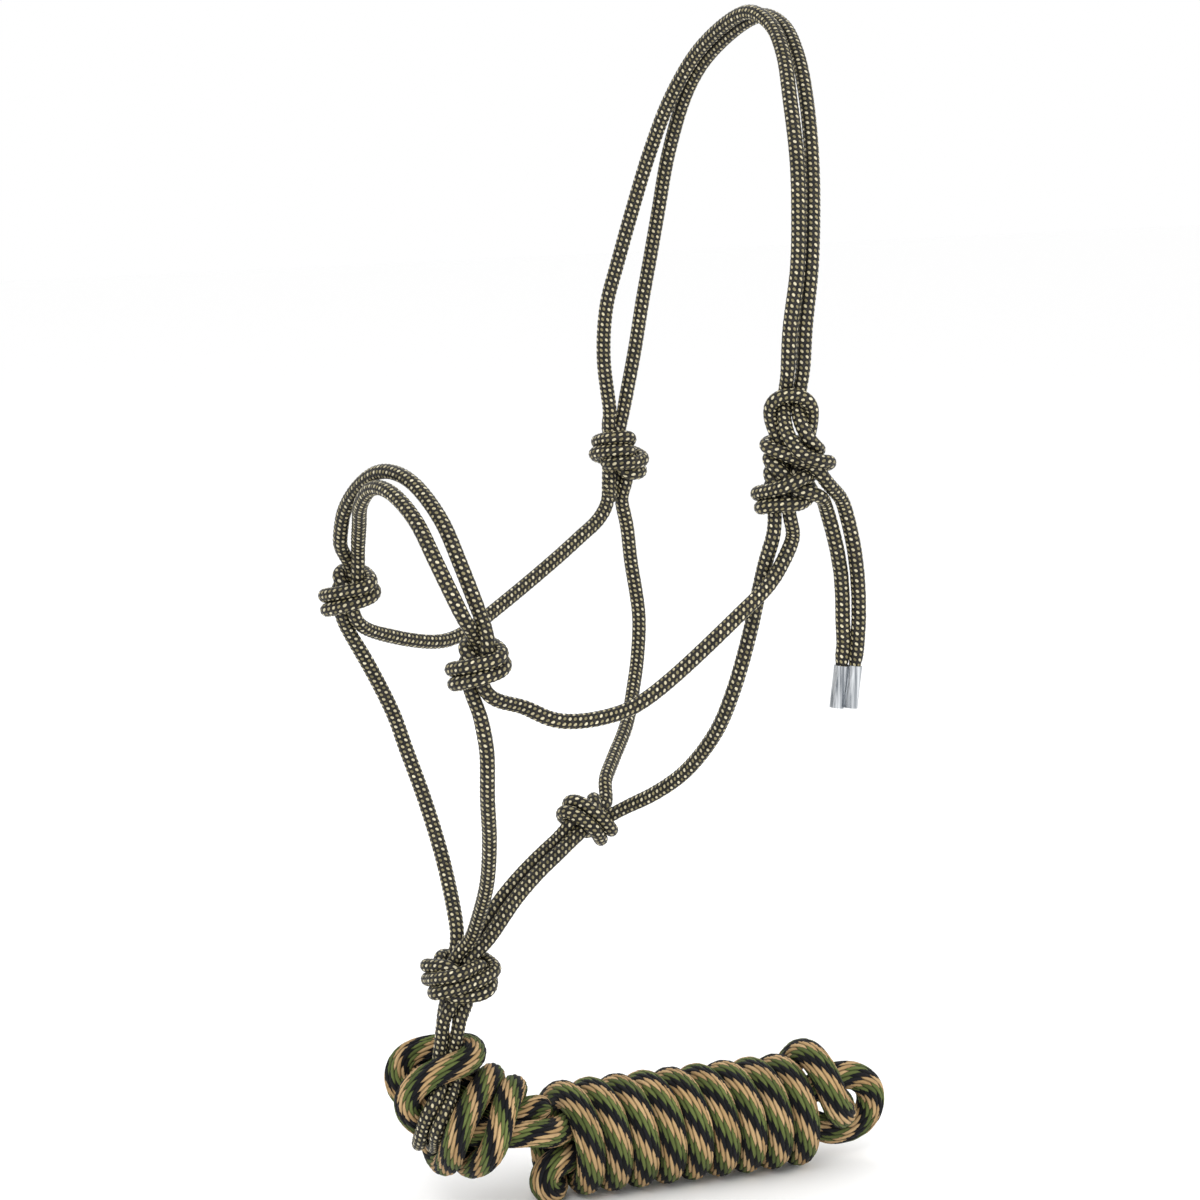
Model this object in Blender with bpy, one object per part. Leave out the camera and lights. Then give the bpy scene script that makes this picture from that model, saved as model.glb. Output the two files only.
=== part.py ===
"""Rope halter with its lead rope, in the shape it takes on a horse's head.

Frame: the origin is under the crown, where the halter hangs on the poll. +X runs back
towards the horse's neck, +Y to its off (right) side and +Z up. Every cord is a curve with
a round bevel. A knot is laid out strand by strand in cord diameters and then pulled tight,
so that its strands touch but never cross.
"""
import bpy
import numpy as np

MM = 0.001

# Head that the halter fits
HEAD_WIDTH = 0.190         # between the cheek knots
NOSE_REACH = 0.220         # from the poll forward to the nose knots
HALTER_DROP = 0.528        # from the poll down to the fiador knot
MODEL_WIDTH, MODEL_REACH, MODEL_DROP = 0.190, 0.220, 0.528   # the head that the routes are drawn on

# Cords
HALTER_CORD = 0.008
LEAD_ROPE = 0.016
CLEARANCE = 0.0003         # between solids that touch
KNOT_SQUEEZE = 0.94        # a cord's width inside a tight knot over its free width
KNOT_EASE = 0.955          # a strand's solid over the width it was settled at
ROUNDNESS = 2              # bevel resolution of a cord, which gives eight sides
KNOT_STEP = 0.42           # between a knot strand's points, in cord diameters
RUN_STEP = 1.6             # between a free run's points, in cord diameters

# Ferrule on the two rope ends
FERRULE_LENGTH = 0.0235
FERRULE_BORE = 0.0066      # each barrel grips one rope end squeezed to fit
FERRULE_WALL = 0.0008

# Hank of the lead rope
HANK_TURNS = 10
HANK_PITCH = 0.0167        # between neighbouring turns
HANK_RADIUS = 0.0328       # outside of the turns
HANK_ROUNDING = 0.009      # of its two ends
HANK_HEADING = -10.0       # degrees from +X, seen from above
BIGHT_RADIUS = 0.0170      # centreline of the bights that stand out of the hank's two ends

COLLECTION = "rope_halter"


# Settling: the one tool that makes every knot

def evenly(points, count):
    """The same path with its points equally spaced."""
    steps = np.sqrt(((points[1:] - points[:-1]) ** 2).sum(1))
    along = np.concatenate([[0.0], np.cumsum(steps)])
    wanted = np.linspace(0.0, along[-1], count)
    return np.stack([np.interp(wanted, along, points[:, k]) for k in range(3)], 1)


def length_of(points):
    return float(np.sqrt(((points[1:] - points[:-1]) ** 2).sum(1)).sum())


def smooth(points, per_span=16):
    """A smooth curve through a few points: a centripetal Catmull-Rom spline."""
    points = np.asarray(points, float)
    ends = [2 * points[0] - points[1]], [2 * points[-1] - points[-2]]
    points = np.concatenate([ends[0], points, ends[1]])
    spans = []
    for i in range(1, len(points) - 2):
        p = points[i - 1:i + 3]
        gaps = np.maximum(((p[1:] - p[:-1]) ** 2).sum(1) ** 0.25, 1e-6)
        t0, t1, t2, t3 = np.concatenate([[0.0], np.cumsum(gaps)])
        t = np.linspace(t1, t2, per_span, endpoint=False)[:, None]
        a1 = (t1 - t) / (t1 - t0) * p[0] + (t - t0) / (t1 - t0) * p[1]
        a2 = (t2 - t) / (t2 - t1) * p[1] + (t - t1) / (t2 - t1) * p[2]
        a3 = (t3 - t) / (t3 - t2) * p[2] + (t - t2) / (t3 - t2) * p[3]
        b1 = (t2 - t) / (t2 - t0) * a1 + (t - t0) / (t2 - t0) * a2
        b2 = (t3 - t) / (t3 - t1) * a2 + (t - t1) / (t3 - t1) * a3
        spans.append((t2 - t) / (t2 - t1) * b1 + (t - t1) / (t2 - t1) * b2)
    spans.append(points[-2][None])
    return np.concatenate(spans)


def settle(strands, rounds=120, pull=0.3, spacing=0.25, finish=60):
    """Pull strands tight around each other until they touch.

    strands is a list of (path, diameter). Each round shortens the paths a little, smooths
    them, and pushes apart every two points that are nearer than the two cords' radii allow.
    The first and last two points of each path stay where they are.
    """
    sizes = [d for _, d in strands]
    paths = [respaced(p, d * spacing) for p, d in strands]
    self_gap = int(round(1.6 / spacing))
    for turn in range(rounds + finish):
        tight = pull if turn < rounds else 0.02
        if turn % 10 == 0:
            if turn < rounds:
                paths = [respaced(p, d * spacing) for p, d in zip(paths, sizes)]
            counts = [len(p) for p in paths]
            points = np.concatenate(paths)
            radius = np.repeat(np.array(sizes) / 2, counts)
            strand = np.repeat(np.arange(len(paths)), counts)
            order = np.concatenate([np.arange(n) for n in counts])
            last = np.repeat(counts, counts) - 1 - order
            free = ((order >= 2) & (last >= 2))[:, None]
            apart = ((points[:, None] - points[None]) ** 2).sum(2)
            reach = (1.7 * (radius[:, None] + radius[None])) ** 2
            i, j = np.nonzero(np.triu(apart < reach, 1))
            same = (strand[i] == strand[j]) & (np.abs(order[i] - order[j]) < self_gap)
            i, j = i[~same], j[~same]
            least = radius[i] + radius[j]
        bow = np.zeros_like(points)
        bow[1:-1] = 0.5 * (points[2:] + points[:-2]) - points[1:-1]
        bow = bow * free
        kink = np.zeros_like(points)
        kink[1:-1] = 0.5 * (bow[2:] + bow[:-2]) - bow[1:-1]
        points = points + free * (tight * bow - 0.25 * kink)
        for _ in range(2 if turn < rounds else 5):
            between = points[i] - points[j]
            distance = np.sqrt((between ** 2).sum(1)) + 1e-12
            short = np.maximum(0.0, least - distance)
            hit = short > 0
            push = between[hit] / distance[hit, None] * (short[hit] / 2)[:, None]
            a, b = i[hit], j[hit]
            n = len(points)
            shared = np.sqrt(np.maximum(1, np.bincount(a, minlength=n) + np.bincount(b, minlength=n)))
            move = np.stack([np.bincount(a, push[:, k], n) - np.bincount(b, push[:, k], n)
                             for k in range(3)], 1) / shared[:, None]
            size = np.sqrt((move ** 2).sum(1)) + 1e-12
            move = move * np.minimum(1.0, 0.2 * radius / size)[:, None]
            points = points + free * move
        paths = np.split(points, np.cumsum(counts)[:-1])
    return paths


def respaced(path, step):
    """A path with its inner points spaced evenly again and its held ends untouched."""
    inner = path[1:-1]
    count = max(5, int(round(length_of(inner) / step)) + 1)
    return np.concatenate([path[:1], evenly(inner, count), path[-1:]])


# Where things are

def place(x, y, z):
    """A point of the drawn head, in millimetres, on the head that the halter is made for."""
    return np.array([x * NOSE_REACH / MODEL_REACH, y * HEAD_WIDTH / MODEL_WIDTH,
                     z * HALTER_DROP / MODEL_DROP]) * MM


def placed(points):
    return np.array([place(*p) for p in points])


class Spot:
    """A knot's own frame, in cord diameters: right, back and up as seen from its face."""

    def __init__(self, centre, cord, turn=-32.0, tilt=0.0, hand=1):
        a, b = np.radians(turn), np.radians(tilt)
        right = np.array([np.cos(a), np.sin(a), 0.0])
        back = np.array([-np.sin(a), np.cos(a), 0.0])
        up = np.array([0.0, 0.0, 1.0])
        self.right = (np.cos(b) * right + np.sin(b) * up) * hand
        self.up = np.cos(b) * up - np.sin(b) * right
        self.back = back
        self.centre, self.cord = np.asarray(centre, float), cord

    def at(self, points):
        p = np.asarray(points, float) * self.cord
        return self.centre + p[:, :1] * self.right + p[:, 1:2] * self.back + p[:, 2:] * self.up


def overhand_strand(level, down, out):
    """One strand of a two-strand overhand knot.

    It comes down the core, leaves it at the bottom, goes once round the outside while it
    climbs, and turns down the core again. level shifts the turn up or down, and down and
    out are its (right, back) places in the core on the way in and on the way out.
    """
    turn = np.radians(np.linspace(285.0, -185.0, 14))
    climb = level - 0.5 + 2.0 * (180.0 - np.degrees(turn)) / 360.0
    ring = np.stack([1.75 * np.cos(turn), -1.6 * np.sin(turn), climb], 1)
    first = [(down[0], down[1], 1.9), (down[0], down[1], 0.9), (down[0], down[1], level * 0.6 - 0.2)]
    last = [(out[0] - 0.35, out[1] + 0.1, climb[-1] - 0.35), (out[0], out[1], climb[-1] - 1.3),
            (out[0], out[1], -1.9)]
    return np.concatenate([first, ring, last])


OVERHAND = (overhand_strand(0.5, (0.6, -0.45), (-0.2, -0.5)),
            overhand_strand(-0.5, (0.6, 0.55), (-0.85, 0.3)))


def fiador_strand(index, ring=2.3, core=1.2, climb=3.2):
    """One of four equal strands of the fiador knot: down the core, round the rest, down the core."""
    start = 90.0 * index + 45.0
    around = np.radians(start + np.linspace(25.0, 300.0, 12))
    turn = np.stack([ring * np.cos(around), ring * np.sin(around), np.linspace(-climb, climb, 12) / 2], 1)
    into, out = np.radians(start), np.radians(start + 315.0)
    first = [(0.6 * core * np.cos(into), 0.6 * core * np.sin(into), 2.2),
             (core * np.cos(into), core * np.sin(into), 0.9),
             (core * np.cos(into), core * np.sin(into), -0.9)]
    last = [(core * np.cos(out), core * np.sin(out), 0.9), (core * np.cos(out), core * np.sin(out), -0.9),
            (0.6 * core * np.cos(out), 0.6 * core * np.sin(out), -2.2)]
    return np.concatenate([first, turn, last])


# Joining runs to knots

def unit(v):
    return v / np.sqrt((v ** 2).sum())


def run(points, cord=HALTER_CORD):
    """A free stretch of cord: points of the drawn head to an evenly stepped smooth curve."""
    curve = smooth(placed(points))
    return evenly(curve, int(round(length_of(curve) / (RUN_STEP * cord))) + 1)


def after(stretch, cord=HALTER_CORD):
    """The first two points of a strand that carries a stretch on past its last point."""
    way = unit(stretch[-1] - stretch[-2])
    return stretch[-1] + way * np.array([[CLEARANCE], [CLEARANCE + 0.25 * cord]])


def before(stretch, cord=HALTER_CORD):
    """The last two points of a strand that leads up to a stretch's first point."""
    way = unit(stretch[0] - stretch[1])
    return stretch[0] + way * np.array([[CLEARANCE + 0.25 * cord], [CLEARANCE]])


def strand(start, middle, end):
    """A strand's path from its two held points at one end to the two at the other."""
    route = smooth(np.concatenate([start[1:], middle, end[:1]]), 8)
    return np.concatenate([start[:1], route, end[-1:]])


def overhand(spot, arriving, leaving, cord, rounds=120):
    """A two-strand overhand knot between two stretches that arrive and two that leave."""
    size = cord * KNOT_SQUEEZE
    return settle([(strand(after(a, cord), spot.at(shape), before(b, cord)), size)
                   for shape, a, b in zip(OVERHAND, arriving, leaving)], rounds)


def cut(path, *places):
    """Cut a path at some fractions of its length, leaving flat parallel faces and a gap at each."""
    steps = np.sqrt(((path[1:] - path[:-1]) ** 2).sum(1))
    along = np.concatenate([[0.0], np.cumsum(steps)]) / steps.sum()
    reach = 1.5 * steps.mean()
    pieces, begin, head = [], 0, path[:0]
    for share in places:
        k = int(np.searchsorted(along, share))
        middle, way = (path[k - 1] + path[k]) / 2, unit(path[k + 1] - path[k - 2])
        tail = middle - way * np.array([[reach], [CLEARANCE / 2]])
        pieces.append(np.concatenate([head, path[begin:k - 2], tail]))
        head, begin = middle + way * np.array([[CLEARANCE / 2], [reach]]), k + 2
    pieces.append(np.concatenate([head, path[begin:]]))
    return pieces


# Blender objects

bpy.context.scene.unit_settings.system = "METRIC"
for item in list(bpy.data.objects):
    bpy.data.objects.remove(item)

parts = bpy.data.collections.new(COLLECTION)
cutters = bpy.data.collections.new("cutters")
bpy.context.scene.collection.children.link(parts)
bpy.context.scene.collection.children.link(cutters)


def material(name, colour, roughness, metallic=0.0):
    made = bpy.data.materials.new(name)
    made.use_nodes = True
    shader = made.node_tree.nodes["Principled BSDF"]
    shader.inputs["Base Color"].default_value = (*colour, 1.0)
    shader.inputs["Roughness"].default_value = roughness
    shader.inputs["Metallic"].default_value = metallic
    made.diffuse_color = (*colour, 1.0)
    return made


halter_braid = material("halter_braid", (0.055, 0.053, 0.042), 0.6)
lead_braid = material("lead_braid", (0.16, 0.15, 0.075), 0.75)
crimped_aluminium = material("crimped_aluminium", (0.62, 0.63, 0.64), 0.35, 1.0)


def cord_solid(name, path, width, look, origin=None, sides=ROUNDNESS):
    """A closed round tube along a path. width is one diameter, or one for each point."""
    origin = np.zeros(3) if origin is None else np.asarray(origin)
    widths = np.broadcast_to(np.asarray(width, float), (len(path),))
    curve = bpy.data.curves.new(name, "CURVE")
    curve.dimensions = "3D"
    curve.resolution_u = 1
    curve.bevel_depth = float(widths.max()) / 2
    curve.bevel_resolution = sides
    curve.use_fill_caps = True
    curve.twist_mode = "MINIMUM"
    spline = curve.splines.new("POLY")
    spline.points.add(len(path) - 1)
    local = np.concatenate([path - origin, np.ones((len(path), 1))], 1)
    spline.points.foreach_set("co", local.ravel())
    spline.points.foreach_set("radius", (widths / widths.max()).astype(np.float32))
    curve.materials.append(look)
    made = bpy.data.objects.new(name, curve)
    made.location = origin
    parts.objects.link(made)
    return made


def knot_solid(name, path, cord, look, origin=None):
    return cord_solid(name, respaced(path, KNOT_STEP * cord), cord * KNOT_SQUEEZE * KNOT_EASE, look, origin)


def run_solid(name, path, look=halter_braid, cord=HALTER_CORD, origin=None):
    return cord_solid(name, path, cord, look, origin)


# Halter runs, as millimetre points of the drawn head

crown_front = run([(-36, 95, -231), (-39, 97, -200), (-37, 97, -170), (-30, 96, -145), (-22, 93, -115),
                   (-15, 85, -81), (-11, 68, -48), (-7, 42, -19), (-4, 2, 0), (-5, -22, -6), (-12, -45, -22),
                   (-21, -65, -47), (-28, -82, -79), (-33, -91, -107), (-37, -96, -135), (-43, -98, -168),
                   (-44, -98, -190)])
crown_back = run([(-26, 95, -230), (-17, 97, -195), (-12, 97, -168), (-8, 96, -146), (-4, 93, -117),
                  (-2, 85, -82), (-1, 66, -44), (1, 44, -22), (5, 3, -2), (5, -20, -7), (-1, -43, -23),
                  (-9, -63, -46), (-17, -80, -77), (-23, -90, -106), (-28, -96, -135), (-33, -98, -168),
                  (-34, -98, -189)])
nose_outer = run([(-220, -70, -311), (-223, -66, -299), (-226, -60, -285), (-228, -44, -264), (-230, -20, -248),
                  (-232, -3, -243), (-234, 14, -244), (-236, 32, -253), (-236, 51, -270), (-233, 63, -290)])
nose_inner = run([(-231, -71, -311), (-236, -66, -297), (-240, -57, -281), (-241, -40, -264), (-242, -20, -253),
                  (-242, -3, -250), (-241, 12, -253), (-238, 28, -263), (-230, 45, -277), (-224, 58, -291)])
near_cheek = run([(-38, -96, -282), (-45, -98, -292), (-56, -99.5, -305), (-74, -98, -320), (-113, -93, -351),
                  (-132, -91, -363), (-144, -89, -368), (-167, -85, -371), (-183, -81, -369), (-196, -76, -362)])
near_throat = run([(-50, -94, -281), (-52, -91, -292), (-55, -89, -308), (-59, -85, -335), (-65, -79, -366),
                   (-68, -66, -392), (-74, -44, -418), (-83, -24, -434), (-90, -13, -441)])
off_cheek = run([(-37, 95, -287), (-44, 95, -296), (-56, 94, -304), (-74, 93, -316), (-111, 90, -338),
                 (-137, 86, -351), (-150, 84, -355), (-163, 81, -355), (-183, 77, -351), (-203, 73, -345)])
off_throat = run([(-27, 97, -286), (-23, 97, -300), (-20, 97, -322), (-18, 91, -355), (-24, 83, -378),
                  (-33, 73, -393), (-50, 54, -411), (-72, 33, -424), (-88, 17, -432)])
near_chin = run([(-220, -70, -366), (-216, -69, -384), (-211, -61, -413), (-203, -49, -439), (-196, -34, -467),
                 (-192, -18, -490), (-191, -9, -504)])
off_chin = run([(-219, 71, -349), (-212, 69, -362), (-200, 63, -390), (-196, 57, -408), (-190, 46, -437),
                (-187, 32, -467), (-189, 16, -492), (-191, 8, -504)])
throat_near = run([(-131, -5, -464), (-144, -5, -473), (-160, -5, -487), (-173, -5, -502), (-179, -5, -509)])
throat_off = run([(-129, 5, -461), (-142, 5, -470), (-159, 5, -484), (-173, 5, -499), (-180, 5, -508)])

# Tail ropes and their ferrule
TIE = place(-39, -98, -222)
FERRULE_TOP, FERRULE_FOOT = place(-7, -105.5, -354), place(-10, -105.5, -378)
SCREEN_RIGHT = np.array([np.cos(np.radians(-32.0)), np.sin(np.radians(-32.0)), 0.0])
barrel_way = unit(FERRULE_FOOT - FERRULE_TOP)
barrel_offset = SCREEN_RIGHT * (FERRULE_BORE + FERRULE_WALL) / 2


def tail(points, side):
    """A tail rope, narrowing where it goes into its barrel of the ferrule."""
    mouth = FERRULE_TOP + side * barrel_offset
    foot = mouth + barrel_way * (FERRULE_LENGTH - 0.002)
    free = smooth(np.concatenate([placed(points), [mouth - barrel_way * 0.012]]))
    free = evenly(free, int(round(length_of(free) / (RUN_STEP * HALTER_CORD))) + 1)
    path = np.concatenate([free, [mouth - barrel_way * 0.003, mouth + barrel_way * 0.002, foot]])
    widths = np.full(len(path), HALTER_CORD)
    gripped = FERRULE_BORE - CLEARANCE
    widths[-4:] = gripped + 0.0007, gripped + 0.0004, gripped, gripped
    return path, widths


tail_near, tail_near_widths = tail([(-22, -103, -264), (-16, -104, -283), (-11, -104, -306), (-10, -104, -328)], -1)
tail_off, tail_off_widths = tail([(-12, -106, -263), (-7, -108, -283), (-3, -108, -306), (-2, -108, -328)], 1)

# Knots
NEAR_CHEEK_KNOT = TIE + np.array([-0.0037, 0.0023, -0.0328])
near_nose_spot = Spot(place(-221, -70, -339), HALTER_CORD)
off_nose_spot = Spot(place(-224, 68, -320), HALTER_CORD)
off_cheek_spot = Spot(place(-30, 95, -259), HALTER_CORD, turn=150.0)
throat_spot = Spot(place(-110, 0, -450), HALTER_CORD, turn=0.0, tilt=-60.0)

near_nose_knot = overhand(near_nose_spot, (nose_outer[::-1], nose_inner[::-1]), (near_cheek[::-1], near_chin),
                          HALTER_CORD)
off_nose_knot = overhand(off_nose_spot, (nose_inner, nose_outer), (off_cheek[::-1], off_chin), HALTER_CORD)
off_cheek_knot = overhand(off_cheek_spot, (crown_front[::-1], crown_back[::-1]), (off_cheek, off_throat),
                          HALTER_CORD)
throat_knot = overhand(throat_spot, (near_throat, off_throat), (throat_near, throat_off), HALTER_CORD)

# The crown's ends tied into the eye loop that stands up from the near cheek knot
TIE_A = [(-0.45, 0.9, 3.0), (-1.0, -0.3, 1.9), (-1.0, -0.9, 0.5), (-0.5, -1.6, -1.2), (0.6, -2.1, -2.2),
         (2.0, -0.8, -2.9), (2.6, 0.3, -2.9), (1.2, 1.3, -2.6), (-0.7, 1.3, -2.2), (-2.5, 0.3, -1.9),
         (-1.8, -0.9, -2.1), (-0.4, -1.1, -2.8), (0.8, -1.1, -3.7)]
TIE_B = [(0.65, 0.9, 3.0), (0.05, -0.3, 1.9), (0.0, -0.9, 0.7), (0.4, -1.7, -0.4), (1.1, -2.1, -1.3),
         (2.3, -0.8, -1.8), (2.5, 0.3, -1.7), (1.2, 1.3, -1.5), (-0.7, 1.3, -1.2), (-2.3, 0.2, -0.9),
         (-1.6, -1.0, -0.9), (-0.2, -1.2, -1.7), (0.9, -1.2, -2.7), (2.0, -0.8, -3.8)]
EYE_LOOP = [(-1.5, 0, -2.3), (-1.95, 0, -0.7), (-2.0, 0, 1.4), (-1.3, 0, 2.7), (-0.2, 0, 3.05), (0.8, 0, 2.3),
            (1.25, 0, 0.6), (1.15, 0, -1.0), (0.5, 0, -2.3)]


def tie_and_near_cheek():
    """The near cheek knot, its eye loop and the two crown ends tied into it, settled as one."""
    tie, knot = Spot(TIE, HALTER_CORD), Spot(NEAR_CHEEK_KNOT, HALTER_CORD)
    size = HALTER_CORD * KNOT_SQUEEZE
    first, second = (knot.at(shape) for shape in OVERHAND)
    loop = np.concatenate([second[:0:-1], tie.at(EYE_LOOP), first[1:]])
    looped = strand(after(near_throat[::-1]), loop, before(near_cheek))
    crown_a = strand(after(crown_front), tie.at(TIE_A), before(tail_near))
    crown_b = strand(after(crown_back), tie.at(TIE_B), before(tail_off))
    looped, crown_a, crown_b = settle([(looped, size), (crown_a, size), (crown_b, size)], 150)
    height = tie.centre[2] - 2.0 * HALTER_CORD
    above = np.nonzero(looped[:, 2] > height)[0]
    share = np.concatenate([[0.0], np.cumsum(np.sqrt(((looped[1:] - looped[:-1]) ** 2).sum(1)))])
    share = share / share[-1]
    throat_side, eye, cheek_side = cut(looped, share[above[0]], share[above[-1]])
    return throat_side, eye, cheek_side, crown_a, crown_b


near_knot_throat, eye_loop, near_knot_cheek, tie_front, tie_back = tie_and_near_cheek()

# Fiador knot, and the ports of the four strands that hang below it
FIADOR = place(-194, 0, -528)
LOOP_TOP = place(-200, 0, -553)
AWAY = np.array([-SCREEN_RIGHT[1], SCREEN_RIGHT[0], 0.0])
UP = np.array([0.0, 0.0, 1.0])


def in_loops(points):
    """Points given in millimetres right, back and up of the top of the lead loops."""
    p = np.asarray(points, float) * MM
    return LOOP_TOP + p[:, :1] * SCREEN_RIGHT + p[:, 1:2] * AWAY + p[:, 2:] * UP


LOOP_LEGS = ((-4.5, -4.5), (4.5, -4.5), (-4.5, 4.5), (4.5, 4.5))
leg_tops = [in_loops([(x, y, 0.0), (x, y, -2.0)]) for x, y in LOOP_LEGS]


def fiador_knot():
    """Match each arriving cord to the nearest strand of the knot, then settle all four."""
    spot = Spot(FIADOR, HALTER_CORD, turn=-32.0)
    shapes = [spot.at(fiador_strand(k)) for k in range(4)]
    size = HALTER_CORD * KNOT_SQUEEZE
    by_angle = (throat_off, off_chin, near_chin, throat_near)
    below = (leg_tops[1], leg_tops[3], leg_tops[2], leg_tops[0])
    strands = [(strand(after(a), shape, before(b)), size) for a, shape, b in zip(by_angle, shapes, below)]
    return settle(strands, 200)


fiador_strands = fiador_knot()

# Lead rope: its eye looped to the lead loops, the knot of the eye, and the hank
LEAD_KNOT = in_loops([(12.0, 3.0, -64.0)])[0]
LOOP_BIGHTS = ([(-5.5, -5, -24), (-9, -10, -40), (-14, -15, -52), (-17, -9, -64), (-17, 2, -67), (-14, 12, -60),
                (-9, 13, -48), (-5.5, 6, -24)],
               [(4, -5, -24), (0, -10, -40), (-4, -15, -52), (-7, -9, -66), (-7, 2, -69), (-4, 12, -60),
                (0, 13, -48), (4, 6, -24)])
LEAD_EYE = [(6, -2, -60), (-14, -3, -57), (-27, -8, -45), (-24, -16, -30), (-8, -19, -22), (8, -17, -19),
            (20, -6, -18), (20, 7, -20), (6, 18, -23), (-10, 17, -28), (-20, 8, -36), (-12, 2, -42), (6, 2, -46)]
HANK_START = place(-134, -9, -631)
hank_way = np.array([np.cos(np.radians(HANK_HEADING)), np.sin(np.radians(HANK_HEADING)), 0.0])
hank_side = np.array([-hank_way[1], hank_way[0], 0.0])
HANK_LENGTH = HANK_TURNS * HANK_PITCH


def in_hank(points):
    """Points given in millimetres along, across (away from the near side) and up from the hank's start."""
    p = np.asarray(points, float) * MM
    return HANK_START + p[:, :1] * hank_way + p[:, 1:2] * hank_side + p[:, 2:] * UP


def lead_group():
    """The lead's eye and knot, settled together with the two loops it hangs in."""
    spot = Spot(LEAD_KNOT, LEAD_ROPE * KNOT_SQUEEZE, turn=-32.0, tilt=85.0, hand=-1)
    size, small = LEAD_ROPE * KNOT_SQUEEZE * KNOT_SQUEEZE, HALTER_CORD * KNOT_SQUEEZE
    first, second = (spot.at(shape) for shape in OVERHAND)
    eye = np.concatenate([second[-2:1:-1], in_loops(LEAD_EYE), first[2:-1]])
    out_a, out_b = (spot.at([(x, y, -2.1), (x, y, -2.35)]) for x, y in ((-0.2, -0.5), (-0.9, 0.4)))
    eye = strand(out_b[::-1], eye, out_a)
    loops = [strand(leg_tops[k], in_loops(LOOP_BIGHTS[k]), leg_tops[k + 2][::-1]) for k in (0, 1)]
    eye, loop_near, loop_off = settle([(eye, size), (loops[0], small), (loops[1], small)], 120, finish=150)
    left = (eye - spot.centre) @ spot.up
    outside = np.nonzero(left > 2.3 * size)[0]
    share = np.concatenate([[0.0], np.cumsum(np.sqrt(((eye[1:] - eye[:-1]) ** 2).sum(1)))])
    share = share / share[-1]
    back_strand, bight, front_strand = cut(eye, share[outside[0]], share[outside[-1]])
    return back_strand, bight, front_strand, loop_near, loop_off


lead_knot_back, lead_eye, lead_knot_front, loop_near, loop_off = lead_group()
lead_cord = LEAD_ROPE * KNOT_SQUEEZE

# Solids
for name, path in [("crown_rope_front", crown_front), ("crown_rope_back", crown_back),
                   ("nose_band_rope_outer", nose_outer), ("nose_band_rope_inner", nose_inner),
                   ("near_cheek_rope", near_cheek), ("off_cheek_rope", off_cheek),
                   ("near_throat_rope", near_throat), ("off_throat_rope", off_throat),
                   ("near_chin_rope", near_chin), ("off_chin_rope", off_chin),
                   ("throat_to_fiador_rope_near", throat_near), ("throat_to_fiador_rope_off", throat_off)]:
    run_solid(name, path)

for name, path in [("near_nose_knot_outer_strand", near_nose_knot[0]),
                   ("near_nose_knot_inner_strand", near_nose_knot[1]),
                   ("off_nose_knot_inner_strand", off_nose_knot[0]),
                   ("off_nose_knot_outer_strand", off_nose_knot[1]),
                   ("off_cheek_knot_front_strand", off_cheek_knot[0]),
                   ("off_cheek_knot_back_strand", off_cheek_knot[1]),
                   ("throat_knot_near_strand", throat_knot[0]), ("throat_knot_off_strand", throat_knot[1]),
                   ("near_cheek_knot_throat_strand", near_knot_throat),
                   ("near_cheek_knot_cheek_strand", near_knot_cheek), ("eye_loop", eye_loop),
                   ("tie_strand_front", tie_front), ("tie_strand_back", tie_back),
                   ("fiador_knot_strand_1", fiador_strands[0]), ("fiador_knot_strand_2", fiador_strands[1]),
                   ("fiador_knot_strand_3", fiador_strands[2]), ("fiador_knot_strand_4", fiador_strands[3])]:
    knot_solid(name, path, HALTER_CORD, halter_braid)

for name, path in [("lead_loop_near", loop_near), ("lead_loop_off", loop_off)]:
    knot_solid(name, path, HALTER_CORD, halter_braid, origin=LOOP_TOP)

HITCH = in_loops([(-8.0, 0.0, -45.0)])[0]
for name, path in [("lead_eye", lead_eye), ("lead_knot_front_strand", lead_knot_front),
                   ("lead_knot_back_strand", lead_knot_back)]:
    knot_solid(name, path, lead_cord, lead_braid, origin=HITCH)

TAIL_PIVOT = place(-17, -104.5, -263)
cord_solid("tail_rope_near", tail_near, tail_near_widths, halter_braid, origin=TAIL_PIVOT)
cord_solid("tail_rope_off", tail_off, tail_off_widths, halter_braid, origin=TAIL_PIVOT)


def rope_end(path, length, squeeze=1.0):
    """A short straight stretch that carries a knot strand on past its own last point."""
    way = unit(path[-1] - path[-2])
    return path[-1] + way * np.linspace(CLEARANCE, CLEARANCE + length, 3)[:, None]


def hank():
    """The wound turns as one closed body: a round outline along the hank, full at each turn."""
    steps = 4 * HANK_TURNS
    along = np.linspace(0.0, HANK_LENGTH, steps + 1)
    phase = np.linspace(0.0, 2 * np.pi * HANK_TURNS, steps + 1)
    outline = HANK_RADIUS - LEAD_ROPE * 0.11 * (1 + np.cos(phase))
    end = np.minimum(along, HANK_LENGTH - along)
    outline = np.where(end < HANK_PITCH / 8, HANK_RADIUS - HANK_ROUNDING, outline)
    return HANK_START + along[:, None] * hank_way, outline * 2


hank_path, hank_width = hank()
cord_solid("lead_hank", hank_path, hank_width, lead_braid, origin=HITCH, sides=5)

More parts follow.
